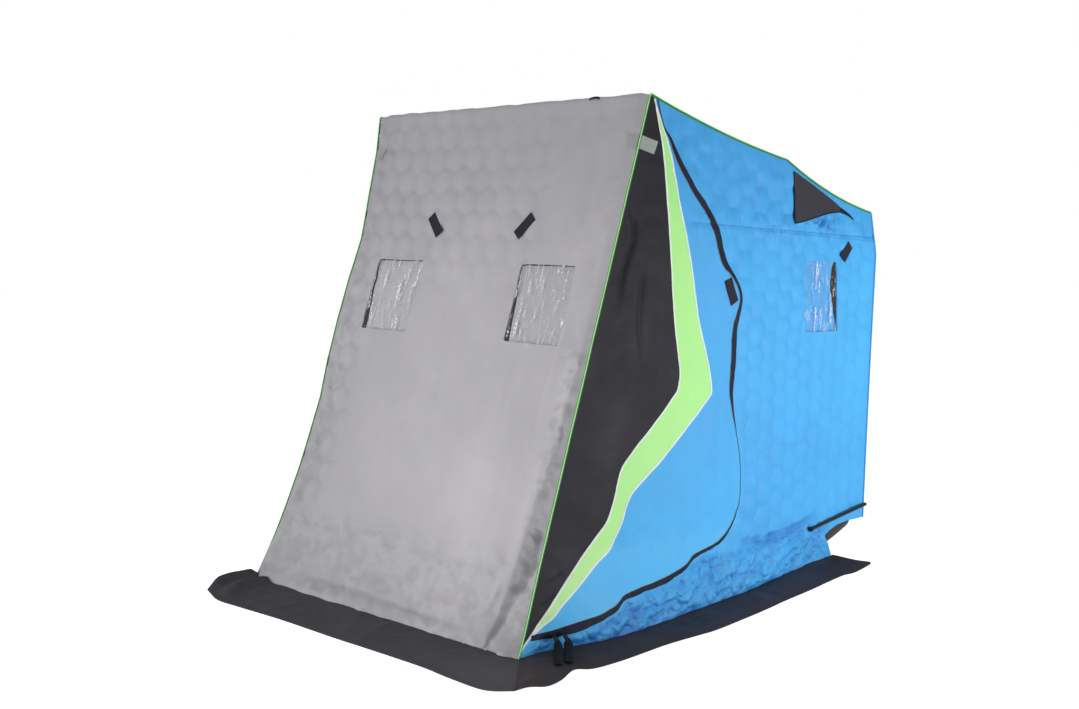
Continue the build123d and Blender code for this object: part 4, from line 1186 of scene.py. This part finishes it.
for side_name, side in SIDES.items():
    def on_side(points, lift):
        return side_place(points, side, lift)

    # the covers are darkened to 0.93 and 0.84 of their cloth's colour: painted shade behind the film
    window(f"front_window_{side_name}", "front", FRONT_WINDOWS[side_name], centre_place, GREY, 0.93,
           front_covered(FRONT_WINDOWS[side_name]))
    window(f"side_window_{side_name}", "side", SIDE_WINDOW, on_side, BLUE, 0.84,
           SIDE_COVER)

    # tabs of hook tape that hold the covers when rolled up, and the door's patch of it
    tab_middle = (TAB_X[side], along_at(TAB_HEIGHT))
    tab_loop = polygon(turned_rectangle(tab_middle, TAB_LENGTH, TAB_WIDTH, TAB_ANGLE * side))
    tab = on_surface(f"front_tab_{side_name}", tab_loop,
                     bridging(lambda p: centre_relief(p)[0], centre_place, 0.001), HOOK, 0.002)
    on_hut(tab, "black_webbing", "window_tabs")
    tab = on_surface(f"side_tab_{side_name}", polygon(SIDE_TAB),
                     bridging(lambda p: side_relief(p, side)[0], on_side, 0.001), HOOK, 0.002)
    on_hut(tab, "black_webbing")
    patch = on_surface(f"zip_patch_{side_name}", polygon(ZIP_PATCH), lying(side, 0.003), HOOK, 0.002)
    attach(patch, f"door_{side_name}")

    # reflective tab over the front edge: one part on the front wall, one on the door
    band = on_surface(f"reflective_front_{side_name}", polygon(on_front(REFLECTIVE_FRONT)),
                      lambda p: centre_place(p * [side, 1], 0.0032), REFLECTIVE, 0.001)
    on_hut(band, "reflective_tape", "reflective_tabs")
    start, end = (tuple(edge_at_height(height) + [0.004, 0]) for height in (REFLECTIVE_HIGH, REFLECTIVE_LOW))
    band = on_surface(f"reflective_side_{side_name}", polygon([start, *REFLECTIVE_SIDE, end]),
                      lying(side, 0.0035), REFLECTIVE, 0.001)
    bend_at_hinge(band)

    # vent hood: a triangle sewn down along its upper edge and standing off below
    def hood_place(flat):
        out = side_base(flat, side) + 0.007 + 0.005 * smooth(distance_to(flat, HOOD_TOP) / 0.16)
        return np.column_stack([side * out, FRONT_Y + flat[:, 0], flat[:, 1]])

    hood = polygon(HOOD, 0.01)
    flap = on_surface(f"vent_hood_{side_name}", hood, hood_place, VENT, 0.003)
    on_hut(flap, "black_fabric", "vent_hoods")
    area_of(hood)
    on_hut(tube(f"vent_edge_{side_name}", hood_place(spline(HOOD[2:7], 0.01)), 0.0024, DARK), "black_fabric")
    line = spline(VENT_TAIL, 0.01)
    thin = np.linspace(0.013, 0.002, len(line))
    tail = ribbon(f"vent_tail_{side_name}", line, thin, thin, lying(side, 0.004), 0.002, DARK)
    on_hut(tail, "black_fabric")

    # two long rubber zip pulls hang over the skirt; on the left they lie close along the wall's foot
    for number, path in enumerate(ZIP_PULLS):
        curve = spline(path, 0.006)
        share = lengths(curve) / lengths(curve)[-1]
        width = np.interp(share, ZIP_PULL_SHARE, ZIP_PULL_WIDTH)
        if side == LEFT:
            setback = LEFT_PULL_SETBACK + LEFT_PULL_GAP * number + (curve[:, 0] - curve[0, 0])
            curve = np.column_stack([np.minimum(curve[:, 0], LEFT_PULL_X), setback, curve[:, 2]])
        places = curve * [side, 1, 1] + [0, FRONT_Y, 0]
        on_hut(strap(f"zip_pull_{number}_{side_name}", places, width, 0.0036, RUBBER), "black_webbing")

loop_path = spline(RIDGE_LOOP, 0.004) + [RIDGE_LOOP_X, FRONT_Y + PEAK_SETBACK, PEAK_HEIGHT - 0.002]
ridge = strap("ridge_webbing", loop_path, np.full(len(loop_path), 0.012), 0.0034, WEBBING,
              across=(0.0, 1.0, 0.0))
on_hut(ridge, "black_webbing", "ridge_loop")

# ---- the CAD's own hard pieces ----
for material, names in (
        (PLASTIC, ["sled_hull"]), (RUNNER, ["sled_runners"]), (BLACK_STEEL, ["pivot_brackets", "side_rails"]),
        (STEEL, ["ground_bar", "peak_bar", "roof_bar", "rear_bar", "ground_poles", "peak_poles", "roof_poles",
                 "rear_poles"])):
    for kept in (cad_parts[name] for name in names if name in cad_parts):
        kept.data.materials.clear()
        kept.data.materials.append(material)

# ---- floor, light and camera ----
bpy.ops.mesh.primitive_plane_add(size=60)
floor = bpy.context.object
floor.name = "floor"
material, tree, shader = new_material("floor_white", (0.95, 0.95, 0.95, 1), 0.9, specular=0.0)
camera_ray = node(tree, "LightPath").outputs["Is Camera Ray"]
glow = result(tree, "Emission", Color=(1, 1, 1, 1), Strength=0.85)
matt = shader.outputs["BSDF"]
seen = result(tree, "MixShader", camera_ray, matt, result(tree, "AddShader", matt, glow))
put(tree, tree.nodes["Material Output"].inputs["Surface"], seen)
floor.data.materials.append(material)
floor.location.z = -0.0005

world = bpy.data.worlds.new("studio")
bpy.context.scene.world = world
world.use_nodes = True
tree = world.node_tree
surround = tree.nodes["Background"]
surround.inputs["Color"].default_value = (1, 1, 1, 1)
surround.inputs["Strength"].default_value = 0.24
white = result(tree, "Background", Color=(1, 1, 1, 1), Strength=1.0)
rays = node(tree, "LightPath").outputs
either = result(tree, "Math", rays["Is Camera Ray"], rays["Is Transmission Ray"], operation="MAXIMUM")
chosen = result(tree, "MixShader", either, surround.outputs[0], white)
put(tree, tree.nodes["World Output"].inputs["Surface"], chosen)

for name, place, aim, size, power in (
        ("front_key", (-3.2, -5.6, 1.0), (0, -0.8, 0.8), 1.0, 128),
        ("front_fill", (0.6, -3.9, 0.7), (0, -0.8, 0.6), 1.0, 26),
        ("side_key", (4.6, 3.0, 0.6), (0.7, 0.3, 0.8), 0.8, 70),
        ("side_fill", (3.5, 0.6, 0.7), (0.7, 0.3, 0.7), 1.0, 26),
        ("top_lamp", (1.5, -1.0, 6.0), (0, 0, 0.9), 3.0, 45)):
    lamp = bpy.data.lights.new(name, "AREA")
    lamp.shape = "DISK"
    lamp.size = size
    lamp.energy = power
    holder = bpy.data.objects.new(name, lamp)
    bpy.context.scene.collection.objects.link(holder)
    holder.location = place
    holder.rotation_euler = (Vector(aim) - Vector(place)).to_track_quat("-Z", "Y").to_euler()


CAMERA_PLACE, CAMERA_TURN, CAMERA_LENS = (3.438, FRONT_Y - 2.925, 1.332), (42.09, 4.35, 1.82), 40.45


def place_camera():
    yaw, pitch, roll = (math.radians(angle) for angle in CAMERA_TURN)
    back = Vector((math.sin(yaw) * math.cos(pitch), -math.cos(yaw) * math.cos(pitch), math.sin(pitch)))
    right = Vector((0, 0, 1)).cross(back).normalized()
    up = back.cross(right)
    tilted = math.cos(roll) * right + math.sin(roll) * up
    upright = -math.sin(roll) * right + math.cos(roll) * up
    lens = bpy.data.cameras.new("camera")
    lens.sensor_width = 36
    lens.lens = CAMERA_LENS
    camera = bpy.data.objects.new("camera", lens)
    bpy.context.scene.collection.objects.link(camera)
    turn = Matrix((tilted, upright, back)).transposed().to_4x4()
    camera.matrix_world = Matrix.Translation(CAMERA_PLACE) @ turn
    bpy.context.scene.camera = camera


place_camera()
bpy.context.scene.view_settings.view_transform = "Standard"
